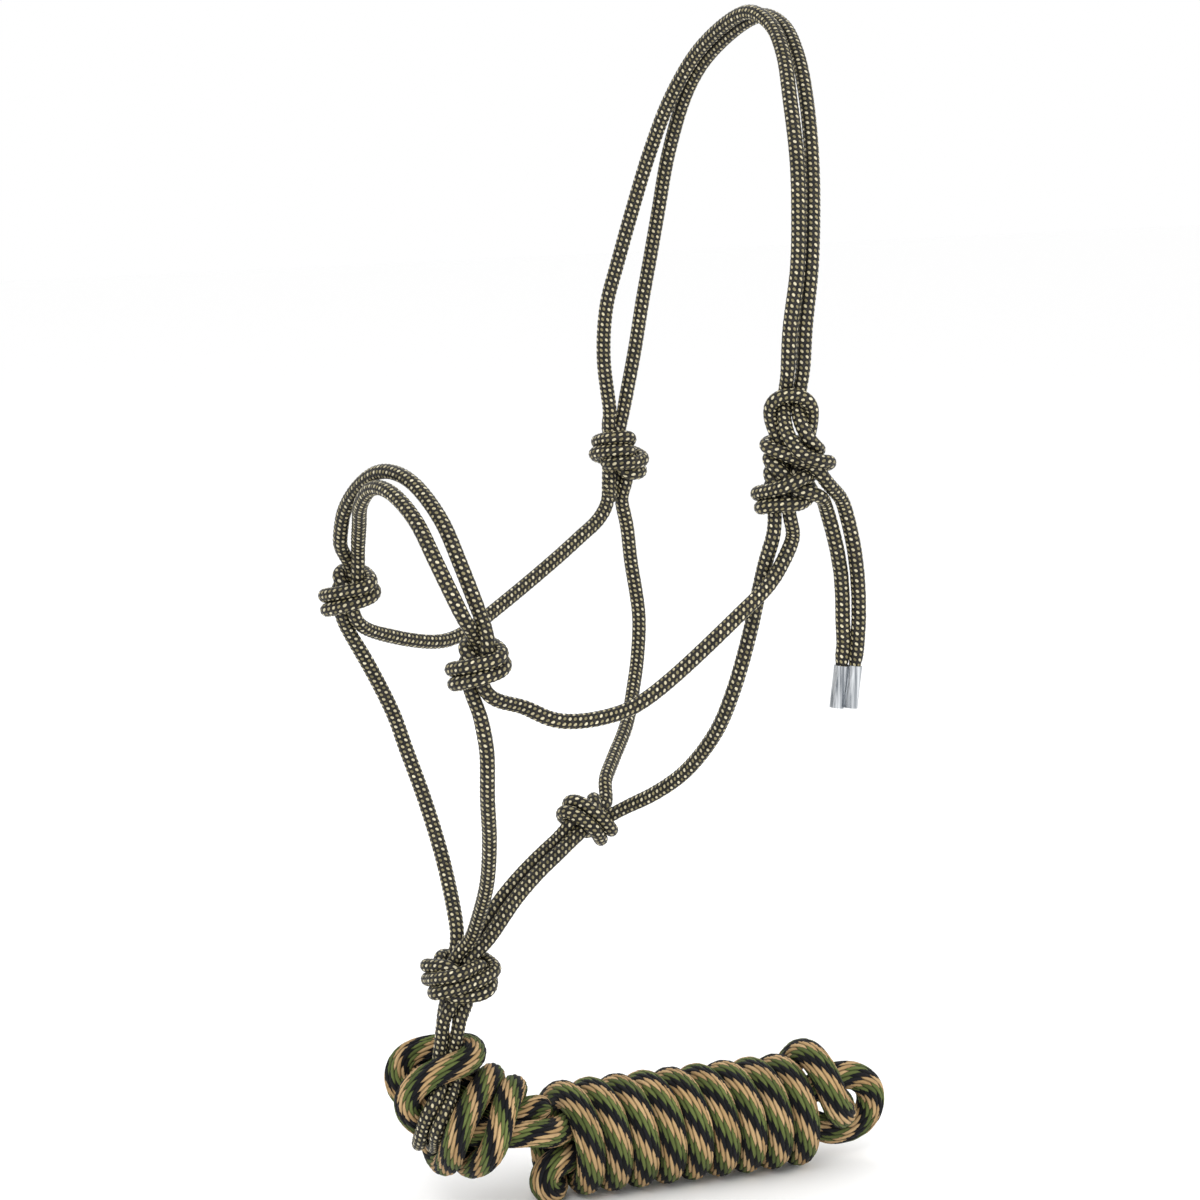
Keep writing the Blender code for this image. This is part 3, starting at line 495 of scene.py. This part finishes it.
HALTER_CHAIN = [
    ("tail_rope_near", tail_near, -1), ("tie_strand_front", tie_front, -1), ("crown_rope_front", crown_front, -1),
    ("off_cheek_knot_front_strand", off_cheek_knot[0], -1), ("off_cheek_rope", off_cheek, 1),
    ("off_nose_knot_inner_strand", off_nose_knot[0], -1), ("nose_band_rope_inner", nose_inner, -1),
    ("near_nose_knot_inner_strand", near_nose_knot[1], 1), ("near_chin_rope", near_chin, 1),
    ("fiador_knot_strand_3", fiador_strands[2], 1), ("lead_loop_near", loop_near, -1),
    ("fiador_knot_strand_4", fiador_strands[3], -1), ("throat_to_fiador_rope_near", throat_near, -1),
    ("throat_knot_near_strand", throat_knot[0], -1), ("near_throat_rope", near_throat, -1),
    ("near_cheek_knot_throat_strand", near_knot_throat, 1), ("eye_loop", eye_loop, 1),
    ("near_cheek_knot_cheek_strand", near_knot_cheek, 1), ("near_cheek_rope", near_cheek, 1),
    ("near_nose_knot_outer_strand", near_nose_knot[0], -1), ("nose_band_rope_outer", nose_outer, 1),
    ("off_nose_knot_outer_strand", off_nose_knot[1], 1), ("off_chin_rope", off_chin, 1),
    ("fiador_knot_strand_2", fiador_strands[1], 1), ("lead_loop_off", loop_off, -1),
    ("fiador_knot_strand_1", fiador_strands[0], -1), ("throat_to_fiador_rope_off", throat_off, -1),
    ("throat_knot_off_strand", throat_knot[1], -1), ("off_throat_rope", off_throat, -1),
    ("off_cheek_knot_back_strand", off_cheek_knot[1], -1), ("crown_rope_back", crown_back, 1),
    ("tie_strand_back", tie_back, 1), ("tail_rope_off", tail_off, 1)]


def chained(stretches, step, ease, rounds):
    """Stretches joined end to end into one evenly stepped path.

    Returns the path and the point number where each stretch begins, with the last point's at
    the end. The whole path is smoothed lightly, and more within ease of every join.
    """
    joined = np.concatenate(stretches)
    ends = np.cumsum([len(s) for s in stretches])
    gaps = np.sqrt(((joined[1:] - joined[:-1]) ** 2).sum(1))
    keep = np.concatenate([[True], gaps > 1e-7])
    along = np.concatenate([[0.0], np.cumsum(gaps)])
    joins = np.concatenate([[0.0], along[np.minimum(ends, len(along) - 1)]])
    joins[-1] = along[-1]
    count = int(round(along[-1] / step)) + 1
    wanted = np.linspace(0.0, along[-1], count)
    path = np.stack([np.interp(wanted, along[keep], joined[keep, k]) for k in range(3)], 1)
    near = np.abs(wanted[:, None] - joins[None, 1:-1]).min(1)
    weight = np.clip(1.3 - near / ease, 0.0, 1.0)
    for turn in range(rounds):
        middle = 0.5 * (path[2:] + path[:-2]) - path[1:-1]
        share = 0.5 if turn < 8 else 0.5 * weight[1:-1, None]
        path[1:-1] += share * middle
    marks = np.searchsorted(wanted, joins - step / 2)
    marks[0], marks[-1] = 0, count - 1
    return path, marks


def framed(path):
    """Two directions across the path at each point, carried along it without turning about it."""
    way = unit(np.gradient(path, axis=0))
    side = np.zeros_like(path)
    side[0] = unit(np.cross(way[0], (0.3, 0.5, 0.8)))
    for k in range(1, len(path)):
        level = side[k - 1] - way[k] * (side[k - 1] @ way[k])
        side[k] = level / np.sqrt(level @ level)
    return side, np.cross(way, side)


# Braids: height of the surface over its cord, from u along it in metres and v once around it

HALTER_PLAIT, HALTER_STRANDS, HALTER_RELIEF = 0.00298, 8, 0.0005
LEAD_TURN, LEAD_COLUMNS, LEAD_LEAN, LEAD_RELIEF, LEAD_POINT = 0.066, 17.5, 3.505, 0.0010, 0.26


def halter_relief(u, v):
    """Two sets of strands that cross as diamonds, each arching where it lies on top."""
    a, b = HALTER_STRANDS * v + u / HALTER_PLAIT, HALTER_STRANDS * v - u / HALTER_PLAIT
    over = (np.floor(a) + np.floor(b)) % 2 < 0.5
    across, along = np.where(over, a % 1, b % 1), np.where(over, b % 1, a % 1)
    hump = np.sqrt(np.clip(1 - (2 * across - 1) ** 2, 0, 1)) * (0.35 + 0.65 * np.sin(np.pi * along))
    return HALTER_RELIEF * (hump - 0.55)


def lead_relief(u, v):
    """Leaf-shaped stitches in bands that turn round the rope; each band's leaves fall between the last's."""
    band = 9 * (v + u / LEAD_TURN)
    column = LEAD_COLUMNS * v + 18 * LEAD_LEAN * u
    zigzag = np.abs(2 * ((column + 0.5 * np.round(band)) % 1) - 1)
    band = band + LEAD_POINT * (2 * zigzag - 1)
    across = (column + 0.5 * np.floor(band) + 0.5) % 1
    hump = np.sqrt(np.clip(1 - (2 * across - 1) ** 2, 0, 1)) * np.sqrt(np.sin(np.pi * (band % 1)))
    return LEAD_RELIEF * (hump - 0.6)


def braided(name, path, side, back, width, start, sides, relief, step):
    """A closed tube of rings on a path: radius is half the width plus the braid's relief.

    The grid's rows are the path's points and its columns go once round; u counts metres from
    the chain's first point, and v turns. Each end is closed flat by a fan of triangles, with a
    sharp rim so that it leaves no mark where the next piece carries the cord on.
    """
    rings = len(path)
    u = (start + np.arange(rings)) * step
    v = np.arange(sides) / sides
    grid_u, grid_v = np.meshgrid(u, v, indexing="ij")
    radius = width[:, None] / 2 + relief(grid_u, grid_v)
    angle = 2 * np.pi * grid_v
    points = (path[:, None] + radius[..., None] * (np.cos(angle)[..., None] * side[:, None]
                                                   + np.sin(angle)[..., None] * back[:, None]))
    points = points.reshape(-1, 3)
    points = np.concatenate([points, path[:1], path[-1:]])
    row, col = np.meshgrid(np.arange(rings - 1), np.arange(sides), indexing="ij")
    row, col = row.ravel(), col.ravel()
    nxt = (col + 1) % sides
    quads = np.stack([row * sides + col, row * sides + nxt, (row + 1) * sides + nxt, (row + 1) * sides + col], 1)
    c = np.arange(sides)
    first, last = rings * sides, rings * sides + 1
    low = np.stack([np.full(sides, first), (c + 1) % sides, c], 1)
    high = np.stack([np.full(sides, last), (rings - 1) * sides + c, (rings - 1) * sides + (c + 1) % sides], 1)
    mesh = bpy.data.meshes.new(name)
    mesh.vertices.add(len(points))
    mesh.vertices.foreach_set("co", points.ravel().astype(np.float32))
    corners = np.concatenate([quads.ravel(), low.ravel(), high.ravel()])
    sizes = np.concatenate([np.full(len(quads), 4), np.full(2 * sides, 3)])
    starts = np.concatenate([[0], np.cumsum(sizes)[:-1]])
    mesh.loops.add(len(corners))
    mesh.loops.foreach_set("vertex_index", corners.astype(np.int32))
    mesh.polygons.add(len(sizes))
    mesh.polygons.foreach_set("loop_start", starts.astype(np.int32))
    mesh.update(calc_edges=True)
    uv_quads = np.stack([np.stack([u[row], col / sides], 1), np.stack([u[row], (col + 1) / sides], 1),
                         np.stack([u[row + 1], (col + 1) / sides], 1), np.stack([u[row + 1], col / sides], 1)], 1)
    uv_low = np.stack([np.stack([np.full(sides, u[0]), c / sides], 1)] * 3, 1)
    uv_high = np.stack([np.stack([np.full(sides, u[-1]), c / sides], 1)] * 3, 1)
    layer = mesh.uv_layers.new(name="along_and_around")
    layer.data.foreach_set("uv", np.concatenate([uv_quads.ravel(), uv_low.ravel(), uv_high.ravel()])
                           .astype(np.float32))
    mesh.polygons.foreach_set("use_smooth", np.ones(len(sizes), bool))
    edges = np.empty(2 * len(mesh.edges), np.int32)
    mesh.edges.foreach_get("vertices", edges)
    edges = edges.reshape(-1, 2)
    rim = (edges < sides).all(1) | ((edges >= (rings - 1) * sides) & (edges < rings * sides)).all(1)
    mesh.edges.foreach_set("use_edge_sharp", rim)
    mesh.validate()
    piece = bpy.data.objects.new(name, mesh)
    bpy.context.scene.collection.objects.link(piece)
    return piece


# Materials

def srgb(code):
    """The linear colour of a web hex code."""
    c = np.array([int(code[k:k + 2], 16) for k in (1, 3, 5)]) / 255
    linear = np.where(c <= 0.04045, c / 12.92, ((c + 0.055) / 1.055) ** 2.4)
    return (*linear.tolist(), 1.0)


def add(tree, kind, inputs=(), out=0, **settings):
    """A node with its settings, and its inputs linked or set; gives the output asked for."""
    made = tree.nodes.new(kind)
    for key, value in settings.items():
        setattr(made, key, value)
    for key, value in (inputs.items() if isinstance(inputs, dict) else enumerate(inputs)):
        if isinstance(value, bpy.types.NodeSocket):
            tree.links.new(value, made.inputs[key])
        elif value is not None:
            made.inputs[key].default_value = value
    return made.outputs[out] if made.outputs else made


def new_material(name):
    made = bpy.data.materials.new(name)
    made.use_nodes = True
    made.node_tree.nodes.clear()
    return made, made.node_tree



MATH, MIX = "ShaderNodeMath", "ShaderNodeMix"


def halter_braid():
    """Diamond-plaited nylon cord: smooth filament yarns, so each pick has a soft gloss of its own.

    Cream and olive picks run one way and black ones the other way over them.
    """
    made, t = new_material("plaited_nylon_halter_cord")
    uv = add(t, "ShaderNodeUVMap", uv_map="along_and_around")
    u = add(t, "ShaderNodeSeparateXYZ", (uv,))
    v = u.node.outputs[1]
    place_on = add(t, "ShaderNodeTexCoord", out="Object")
    turns = add(t, MATH, (v, HALTER_STRANDS), operation="MULTIPLY")
    rise = add(t, MATH, (u, 1 / HALTER_PLAIT), operation="MULTIPLY")
    a = add(t, MATH, (turns, rise), operation="ADD")
    b = add(t, MATH, (turns, rise), operation="SUBTRACT")
    ia, ib = (add(t, MATH, (x,), operation="FLOOR") for x in (a, b))
    fa, fb = (add(t, MATH, (x,), operation="FRACT") for x in (a, b))
    both = add(t, MATH, (ia, ib), operation="ADD")
    odd = add(t, MATH, (both, 2.0), operation="FLOORED_MODULO")
    under = add(t, MATH, (odd, 0.5), operation="GREATER_THAN")
    alternate = add(t, MATH, (ia, 2.0), operation="FLOORED_MODULO")
    dim = add(t, MATH, (alternate, 0.5), operation="GREATER_THAN")

    # across each strand that lies on top, 0 on its crest and 1 at its edges
    across_a = add(t, MATH, (add(t, MATH, (fa, 0.5), operation="SUBTRACT"),), operation="ABSOLUTE")
    across_b = add(t, MATH, (add(t, MATH, (fb, 0.5), operation="SUBTRACT"),), operation="ABSOLUTE")
    across = add(t, MIX, {0: under, 2: across_a, 3: across_b}, data_type="FLOAT")
    along = add(t, MIX, {0: under, 2: across_b, 3: across_a}, data_type="FLOAT")

    # fine filaments run along each strand, 0.25 mm apart, and dye varies over a few centimetres
    lay = add(t, MATH, (add(t, MIX, {0: under, 2: fa, 3: fb}, data_type="FLOAT"), 9.0), operation="MULTIPLY")
    grain = add(t, "ShaderNodeTexNoise", {"Vector": add(t, "ShaderNodeCombineXYZ", (lay, along, ia)),
                                          "Scale": 1.6, "Detail": 2.0, "Roughness": 0.6})
    patch = add(t, "ShaderNodeTexNoise", {"Vector": place_on, "Scale": 38.0, "Detail": 3.0})
    pick = add(t, "ShaderNodeTexWhiteNoise", {"Vector": add(t, "ShaderNodeCombineXYZ", (ia, ib, 0.0))})

    cream = add(t, MIX, {0: pick, 6: srgb("#b5aa86"), 7: srgb("#dad1b2")}, out=2, data_type="RGBA")
    olive = add(t, MIX, {0: pick, 6: srgb("#6f6748"), 7: srgb("#968c68")}, out=2, data_type="RGBA")
    black = add(t, MIX, {0: pick, 6: srgb("#121110"), 7: srgb("#2b2824")}, out=2, data_type="RGBA")
    light = add(t, MIX, {0: dim, 6: cream, 7: olive}, out=2, data_type="RGBA")
    # a light strand shows as a small lens on its crest, where the black ones don't cover its edges
    lens = add(t, MATH, (across, 0.62), operation="MULTIPLY")
    lens = add(t, MATH, (along, 0.62, lens), operation="MULTIPLY_ADD")
    lens = add(t, MATH, (lens, across), operation="MAXIMUM")
    edge = add(t, "ShaderNodeMapRange", {"Value": lens, "From Min": 0.31, "From Max": 0.41})
    hidden = add(t, MATH, (edge, under), operation="MAXIMUM")
    colour = add(t, MIX, {0: hidden, 6: light, 7: black}, out=2, data_type="RGBA")
    shade = add(t, "ShaderNodeMapRange", {"Value": across, "From Min": 0.15, "From Max": 0.5,
                                          "To Min": 1.1, "To Max": 0.3})
    wear = add(t, "ShaderNodeMapRange", {"Value": patch, "From Min": 0.3, "From Max": 0.7,
                                         "To Min": 0.82, "To Max": 1.12})
    streak = add(t, "ShaderNodeMapRange", {"Value": grain, "From Min": 0.3, "From Max": 0.7,
                                           "To Min": 0.62, "To Max": 1.25})
    strength = add(t, MATH, (add(t, MATH, (shade, wear), operation="MULTIPLY"), streak), operation="MULTIPLY")
    scaled = add(t, "ShaderNodeVectorMath", {0: colour, 3: strength}, operation="SCALE")
    height = add(t, MATH, (add(t, MATH, (shade, 0.55), operation="MULTIPLY"),
                           add(t, MATH, (grain, 0.6), operation="MULTIPLY")), operation="ADD")
    bump = add(t, "ShaderNodeBump", {"Height": height, "Strength": 0.6, "Distance": 0.0004})
    gloss = add(t, "ShaderNodeMapRange", {"Value": grain, "To Min": 0.36, "To Max": 0.58})
    shader = add(t, "ShaderNodeBsdfPrincipled", {"Base Color": scaled, "Roughness": gloss,
                                                 "IOR": 1.53, "Specular IOR Level": 0.22, "Sheen Weight": 0.02,
                                                 "Normal": bump})
    add(t, "ShaderNodeOutputMaterial", {"Surface": shader})
    return made


def lead_braid():
    """Double-braided yacht rope of matt spun yarn: tan, green and black bands of leaf-shaped stitches."""
    made, t = new_material("double_braid_lead_rope")
    uv = add(t, "ShaderNodeUVMap", uv_map="along_and_around")
    u = add(t, "ShaderNodeSeparateXYZ", (uv,))
    v = u.node.outputs[1]
    place_on = add(t, "ShaderNodeTexCoord", out="Object")
    spin = add(t, MATH, (u, 1 / LEAD_TURN), operation="MULTIPLY")
    band = add(t, MATH, (add(t, MATH, (v, spin), operation="ADD"), 9.0), operation="MULTIPLY")
    column = add(t, MATH, (u, 18 * LEAD_LEAN, add(t, MATH, (v, LEAD_COLUMNS), operation="MULTIPLY")),
                 operation="MULTIPLY_ADD")
    nearest = add(t, MATH, (band,), operation="ROUND")
    shifted = add(t, MATH, (nearest, 0.5, column), operation="MULTIPLY_ADD")
    saw = add(t, MATH, (add(t, MATH, (shifted,), operation="FRACT"), 2.0, -1.0), operation="MULTIPLY_ADD")
    zigzag = add(t, MATH, (saw,), operation="ABSOLUTE")
    moved = add(t, MATH, (zigzag, 2 * LEAD_POINT, add(t, MATH, (band, LEAD_POINT), operation="SUBTRACT")),
                operation="MULTIPLY_ADD")
    number = add(t, MATH, (moved,), operation="FLOOR")
    along = add(t, MATH, (moved,), operation="FRACT")
    leaf = add(t, MATH, (number, 0.5, add(t, MATH, (column, 0.5), operation="ADD")), operation="MULTIPLY_ADD")
    leaf_number = add(t, MATH, (leaf,), operation="FLOOR")
    across = add(t, MATH, (add(t, MATH, (leaf,), operation="FRACT"), 0.5), operation="SUBTRACT")
    off_crest = add(t, MATH, (across,), operation="ABSOLUTE")
    from_tip = add(t, MATH, (add(t, MATH, (along, 0.5), operation="SUBTRACT"),), operation="ABSOLUTE")

    # filaments 0.3 mm apart lie along each stitch
    fibre = add(t, "ShaderNodeTexNoise",
                {"Vector": add(t, "ShaderNodeCombineXYZ", (add(t, MATH, (across, 16.0), operation="MULTIPLY"),
                                                           along, leaf_number)),
                 "Scale": 1.2, "Detail": 3.0, "Roughness": 0.6})
    patch = add(t, "ShaderNodeTexNoise", {"Vector": place_on, "Scale": 30.0, "Detail": 3.0})
    stitch = add(t, "ShaderNodeCombineXYZ", (number, leaf_number, 0.0))
    pick = add(t, "ShaderNodeTexWhiteNoise", {"Vector": stitch})
    colour_of = add(t, MATH, (number, 3.0), operation="FLOORED_MODULO")
    is_green = add(t, MATH, (colour_of, 0.5), operation="GREATER_THAN")
    is_black = add(t, MATH, (colour_of, 1.5), operation="GREATER_THAN")
    tan = add(t, MIX, {0: pick, 6: srgb("#aa8a5e"), 7: srgb("#c9a97c")}, out=2, data_type="RGBA")
    green = add(t, MIX, {0: pick, 6: srgb("#4f5a2e"), 7: srgb("#69743f")}, out=2, data_type="RGBA")
    black = add(t, MIX, {0: pick, 6: srgb("#0d0d10"), 7: srgb("#18181d")}, out=2, data_type="RGBA")
    first = add(t, MIX, {0: is_green, 6: tan, 7: green}, out=2, data_type="RGBA")
    colour = add(t, MIX, {0: is_black, 6: first, 7: black}, out=2, data_type="RGBA")
    # painted shade: each leaf's colour darkens to 0.3 towards its edges and its tips, where it sinks under its
    # neighbours; low also sets the bump's height
    groove_shade = add(t, "ShaderNodeMapRange", {"Value": off_crest, "From Min": 0.22, "From Max": 0.5,
                                           "To Min": 1.08, "To Max": 0.3})
    tip_shade = add(t, "ShaderNodeMapRange", {"Value": from_tip, "From Min": 0.36, "From Max": 0.5,
                                        "To Min": 1.0, "To Max": 0.3})
    low = add(t, MATH, (groove_shade, tip_shade), operation="MULTIPLY")
    streak = add(t, "ShaderNodeMapRange", {"Value": fibre, "From Min": 0.3, "From Max": 0.7,
                                           "To Min": 0.78, "To Max": 1.15})
    wear = add(t, "ShaderNodeMapRange", {"Value": patch, "From Min": 0.3, "From Max": 0.7,
                                         "To Min": 0.86, "To Max": 1.1})
    # the leaves' painted shade (low) times the fibre streaks and the random tone patches (wear)
    strength = add(t, MATH, (add(t, MATH, (low, streak), operation="MULTIPLY"), wear), operation="MULTIPLY")
    scaled = add(t, "ShaderNodeVectorMath", {0: colour, 3: strength}, operation="SCALE")
    height = add(t, MATH, (low, 0.8, add(t, MATH, (fibre, 0.5), operation="MULTIPLY")), operation="MULTIPLY_ADD")
    bump = add(t, "ShaderNodeBump", {"Height": height, "Strength": 0.8, "Distance": 0.001})
    rough = add(t, "ShaderNodeMapRange", {"Value": fibre, "To Min": 0.55, "To Max": 0.8})
    shader = add(t, "ShaderNodeBsdfPrincipled", {"Base Color": scaled, "Roughness": rough, "IOR": 1.5,
                                                 "Specular IOR Level": 0.16, "Sheen Weight": 0.02, "Normal": bump})
    add(t, "ShaderNodeOutputMaterial", {"Surface": shader})
    return made


def crimped_aluminium():
    """Bright drawn aluminium: a clean metal with fine lengthwise drawing marks and handling scuffs in its
    roughness and bump, and painted reflections in its colour: dark and bright lengthwise streaks from the same
    noise as the drawing marks.
    """
    made, t = new_material("drawn_aluminium_ferrule")
    where = add(t, "ShaderNodeTexCoord", out="Object")
    lengthwise = add(t, "ShaderNodeMapping", {"Vector": where, "Rotation": (0.0, 0.0, 0.56),
                                              "Scale": (640.0, 640.0, 14.0)})
    drawn = add(t, "ShaderNodeTexNoise", {"Vector": lengthwise, "Scale": 1.0, "Detail": 3.0})
    scuff = add(t, "ShaderNodeTexNoise", {"Vector": where, "Scale": 420.0, "Detail": 4.0})
    both = add(t, MATH, (drawn, 0.5, add(t, MATH, (scuff, 0.6), operation="MULTIPLY")), operation="MULTIPLY_ADD")
    rough = add(t, "ShaderNodeMapRange", {"Value": both, "From Min": 0.3, "From Max": 0.8,
                                          "To Min": 0.2, "To Max": 0.42})
    # painted reflection: the drawing-mark noise also sets the metal's colour, as dark and bright lengthwise
    # streaks standing for reflected studio light
    painted_reflection = add(t, "ShaderNodeMapRange", {"Value": drawn, "From Min": 0.35, "From Max": 0.65})
    colour = add(t, MIX, {0: painted_reflection, 6: srgb("#7d8288"), 7: srgb("#d9dcdf")}, out=2, data_type="RGBA")
    bump = add(t, "ShaderNodeBump", {"Height": both, "Strength": 0.25, "Distance": 0.0002})
    shader = add(t, "ShaderNodeBsdfPrincipled", {"Base Color": colour, "Metallic": 1.0, "Roughness": rough,
                                                 "Normal": bump})
    add(t, "ShaderNodeOutputMaterial", {"Surface": shader})
    return made


# Halter pieces

halter_look, lead_look = halter_braid(), lead_braid()
HALTER_STEP, HALTER_SIDES = 0.0008, 32
path, marks = chained([fine(s)[::way] for _, s, way in HALTER_CHAIN], HALTER_STEP, 0.017, 64)
side, back = framed(path)
in_knot = ("knot", "strand", "eye_loop", "lead_loop")
width = np.full(len(path), HALTER_CORD)
for (node, _, _), first, last in zip(HALTER_CHAIN, marks[:-1], marks[1:]):
    if any(word in node for word in in_knot):
        width[first:last + 1] = HALTER_CORD * KNOT_SQUEEZE
blur = np.hanning(25)
width = np.convolve(np.pad(width, 12, mode="edge"), blur / blur.sum(), mode="valid")
# the two ends narrow into the barrels of the ferrule
GRIPPED_RINGS, GRIPPED_LENGTH, EASED_LENGTH = 45, 0.020, 0.027
reach = np.arange(GRIPPED_RINGS) * HALTER_STEP
narrowed = np.interp(reach, [GRIPPED_LENGTH, EASED_LENGTH], [FERRULE_BORE - 0.0008, HALTER_CORD])
width[:GRIPPED_RINGS] = narrowed
width[-GRIPPED_RINGS:] = narrowed[::-1]

for (node, _, _), first, last in zip(HALTER_CHAIN, marks[:-1], marks[1:]):
    cut_at = slice(first, last + 1)
    piece = braided(f"{node}_braid", path[cut_at], side[cut_at], back[cut_at], width[cut_at], first,
                    HALTER_SIDES, halter_relief, HALTER_STEP)
    piece.data.materials.append(halter_look)
    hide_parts(node)
    if node.startswith("tail_rope"):
        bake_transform(piece)
    elif node.startswith("lead_loop"):
        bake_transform(piece)
    elif node.startswith("fiador_knot"):
        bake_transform(piece)
    else:
        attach(piece, "halter")


# Lead rope: one rope from its short end, through its knot and eye, into the hank and round it

LEAD_STEP, LEAD_SIDES = 0.0016, 60
lead_cord = LEAD_ROPE * KNOT_SQUEEZE
neck_top = after(lead_knot_front, lead_cord)
way_out = unit(lead_knot_back[0] - lead_knot_back[1])
short_end = lead_knot_back[0] + way_out * np.linspace(0.007, 0.001, 4)[:, None]
CORE, WRAP = 8.4, 25.0
far = [(150, 0, CORE), (160, 0, 11.5), (168, 0, 15.8), (176, 0, 16.6), (184, 0, 15.6), (191, 0, 11.6),
       (195.3, 0, 5.6), (196, 0, 0), (195.3, 0, -5.6), (191, 0, -11.6), (184, 0, -15.6), (176, 0, -16.6),
       (168, 0, -15.8), (160, 0, -11.5), (150, 0, -CORE)]
near = [(14, -1, -CORE), (4, -5, -CORE), (-3, -11, -CORE), (-10, -15, -8.8), (-15.2, -16, -12.2),
        (-17.2, -16, -17.4), (-15.2, -15, -22.6), (-10, -11, -25.4)]
FIRST, LAST, UPRIGHT = -180.0, 3150.0, 90.0
turned = np.radians(np.arange(FIRST, LAST, 15.0))
wraps = np.stack([HANK_PITCH / MM * (np.degrees(turned) + UPRIGHT) / 360, -WRAP * np.sin(turned),
                  WRAP * np.cos(turned)], 1)
tucked = [(151.5, 21, 17), (152.5, 12, 28), (153.5, 0, 33), (155, -13, 30), (157.5, -23, 20), (161, -25, 8),
          (167, -20, 0), (173, -9, -2), (177, 3, -1), (177, 15, 1), (174, 27, 3)]
core = [(-7, -13.5, 9.5), (-1, -8, 8.8), (7, -2, CORE), (18, 0, CORE)]
through = np.concatenate([core, [(x, 0, CORE) for x in range(40, 140, 20)], far,
                          [(x, 0, -CORE) for x in range(140, 20, -20)], near, wraps, tucked])
route = in_hank(through)
neck_and_hank = smooth(np.concatenate([neck_top[1:], route]), 8)
lead_path, lead_marks = chained([short_end, lead_knot_back, lead_eye, lead_knot_front, neck_and_hank],
                                LEAD_STEP, 0.02, 14)
lead_side, lead_back = framed(lead_path)
lead_width = np.full(len(lead_path), LEAD_ROPE)
lead_width[:lead_marks[4]] = lead_cord * 0.97
blur = np.hanning(15)
lead_width = np.convolve(np.pad(lead_width, 7, mode="edge"), blur / blur.sum(), mode="valid")
melted = np.array([0.35, 0.68, 0.86, 0.95])          # a cut end, sealed by melting
lead_width[:4] *= melted
lead_width[-4:] *= melted[::-1]

LEAD_PIECES = [("lead_short_end", 0, 1, ["lead_rope_end"]),
               ("lead_knot_back_turns", 1, 2, ["lead_knot_back_strand"]),
               ("lead_eye_braid", 2, 3, ["lead_eye"]),
               ("lead_knot_front_turns", 3, 4, ["lead_knot_front_strand"]),
               ("lead_hank_rope", 4, 5, ["lead_neck", "lead_hank", "hank_far_bight", "hank_near_bight"])]
for name, a, b, nodes in LEAD_PIECES:
    cut_at = slice(lead_marks[a], lead_marks[b] + 1)
    piece = braided(name, lead_path[cut_at], lead_side[cut_at], lead_back[cut_at], lead_width[cut_at],
                    lead_marks[a], LEAD_SIDES, lead_relief, LEAD_STEP)
    piece.data.materials.append(lead_look)
    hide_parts(*nodes)
    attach(piece, "lead")

# Ferrule: the solid's own shape, in bright aluminium
ferrule = frame["nodes"]["tail_ferrule"]
ferrule.data.materials.clear()
ferrule.data.materials.append(crimped_aluminium())

# Floor and light
white, t = new_material("matt_white_floor")
shader = add(t, "ShaderNodeBsdfPrincipled", {"Base Color": srgb("#fefefe"), "Roughness": 0.9})
add(t, "ShaderNodeOutputMaterial", {"Surface": shader})
floor_mesh = bpy.data.meshes.new("floor")
low = cad_box[0][2] - 0.001
floor_mesh.from_pydata([(-6, -6, low), (6, -6, low), (6, 6, low), (-6, 6, low)], [], [(0, 1, 2, 3)])
floor_mesh.materials.append(white)
floor = bpy.data.objects.new("floor", floor_mesh)
bpy.context.scene.collection.objects.link(floor)

bpy.context.scene.view_settings.view_transform = "Standard"
world = bpy.data.worlds.new("studio")
bpy.context.scene.world = world
world.use_nodes = True
world.node_tree.nodes["Background"].inputs[0].default_value = (1.0, 1.0, 1.0, 1.0)
world.node_tree.nodes["Background"].inputs[1].default_value = 1.0
for name, power, size, spot in (("key", 16.0, 0.9, (-1.3, -1.3, 0.9)), ("fill", 7.0, 1.2, (1.2, -1.0, 0.3)),
                                ("back", 6.0, 1.0, (0.6, 1.3, 0.9))):
    lamp = bpy.data.lights.new(name, "AREA")
    lamp.energy, lamp.size = power, size
    holder = bpy.data.objects.new(name, lamp)
    bpy.context.scene.collection.objects.link(holder)
    holder.location = spot
    holder.rotation_euler = (Vector((-0.1, 0, -0.3)) - Vector(spot)).to_track_quat("-Z", "Y").to_euler()
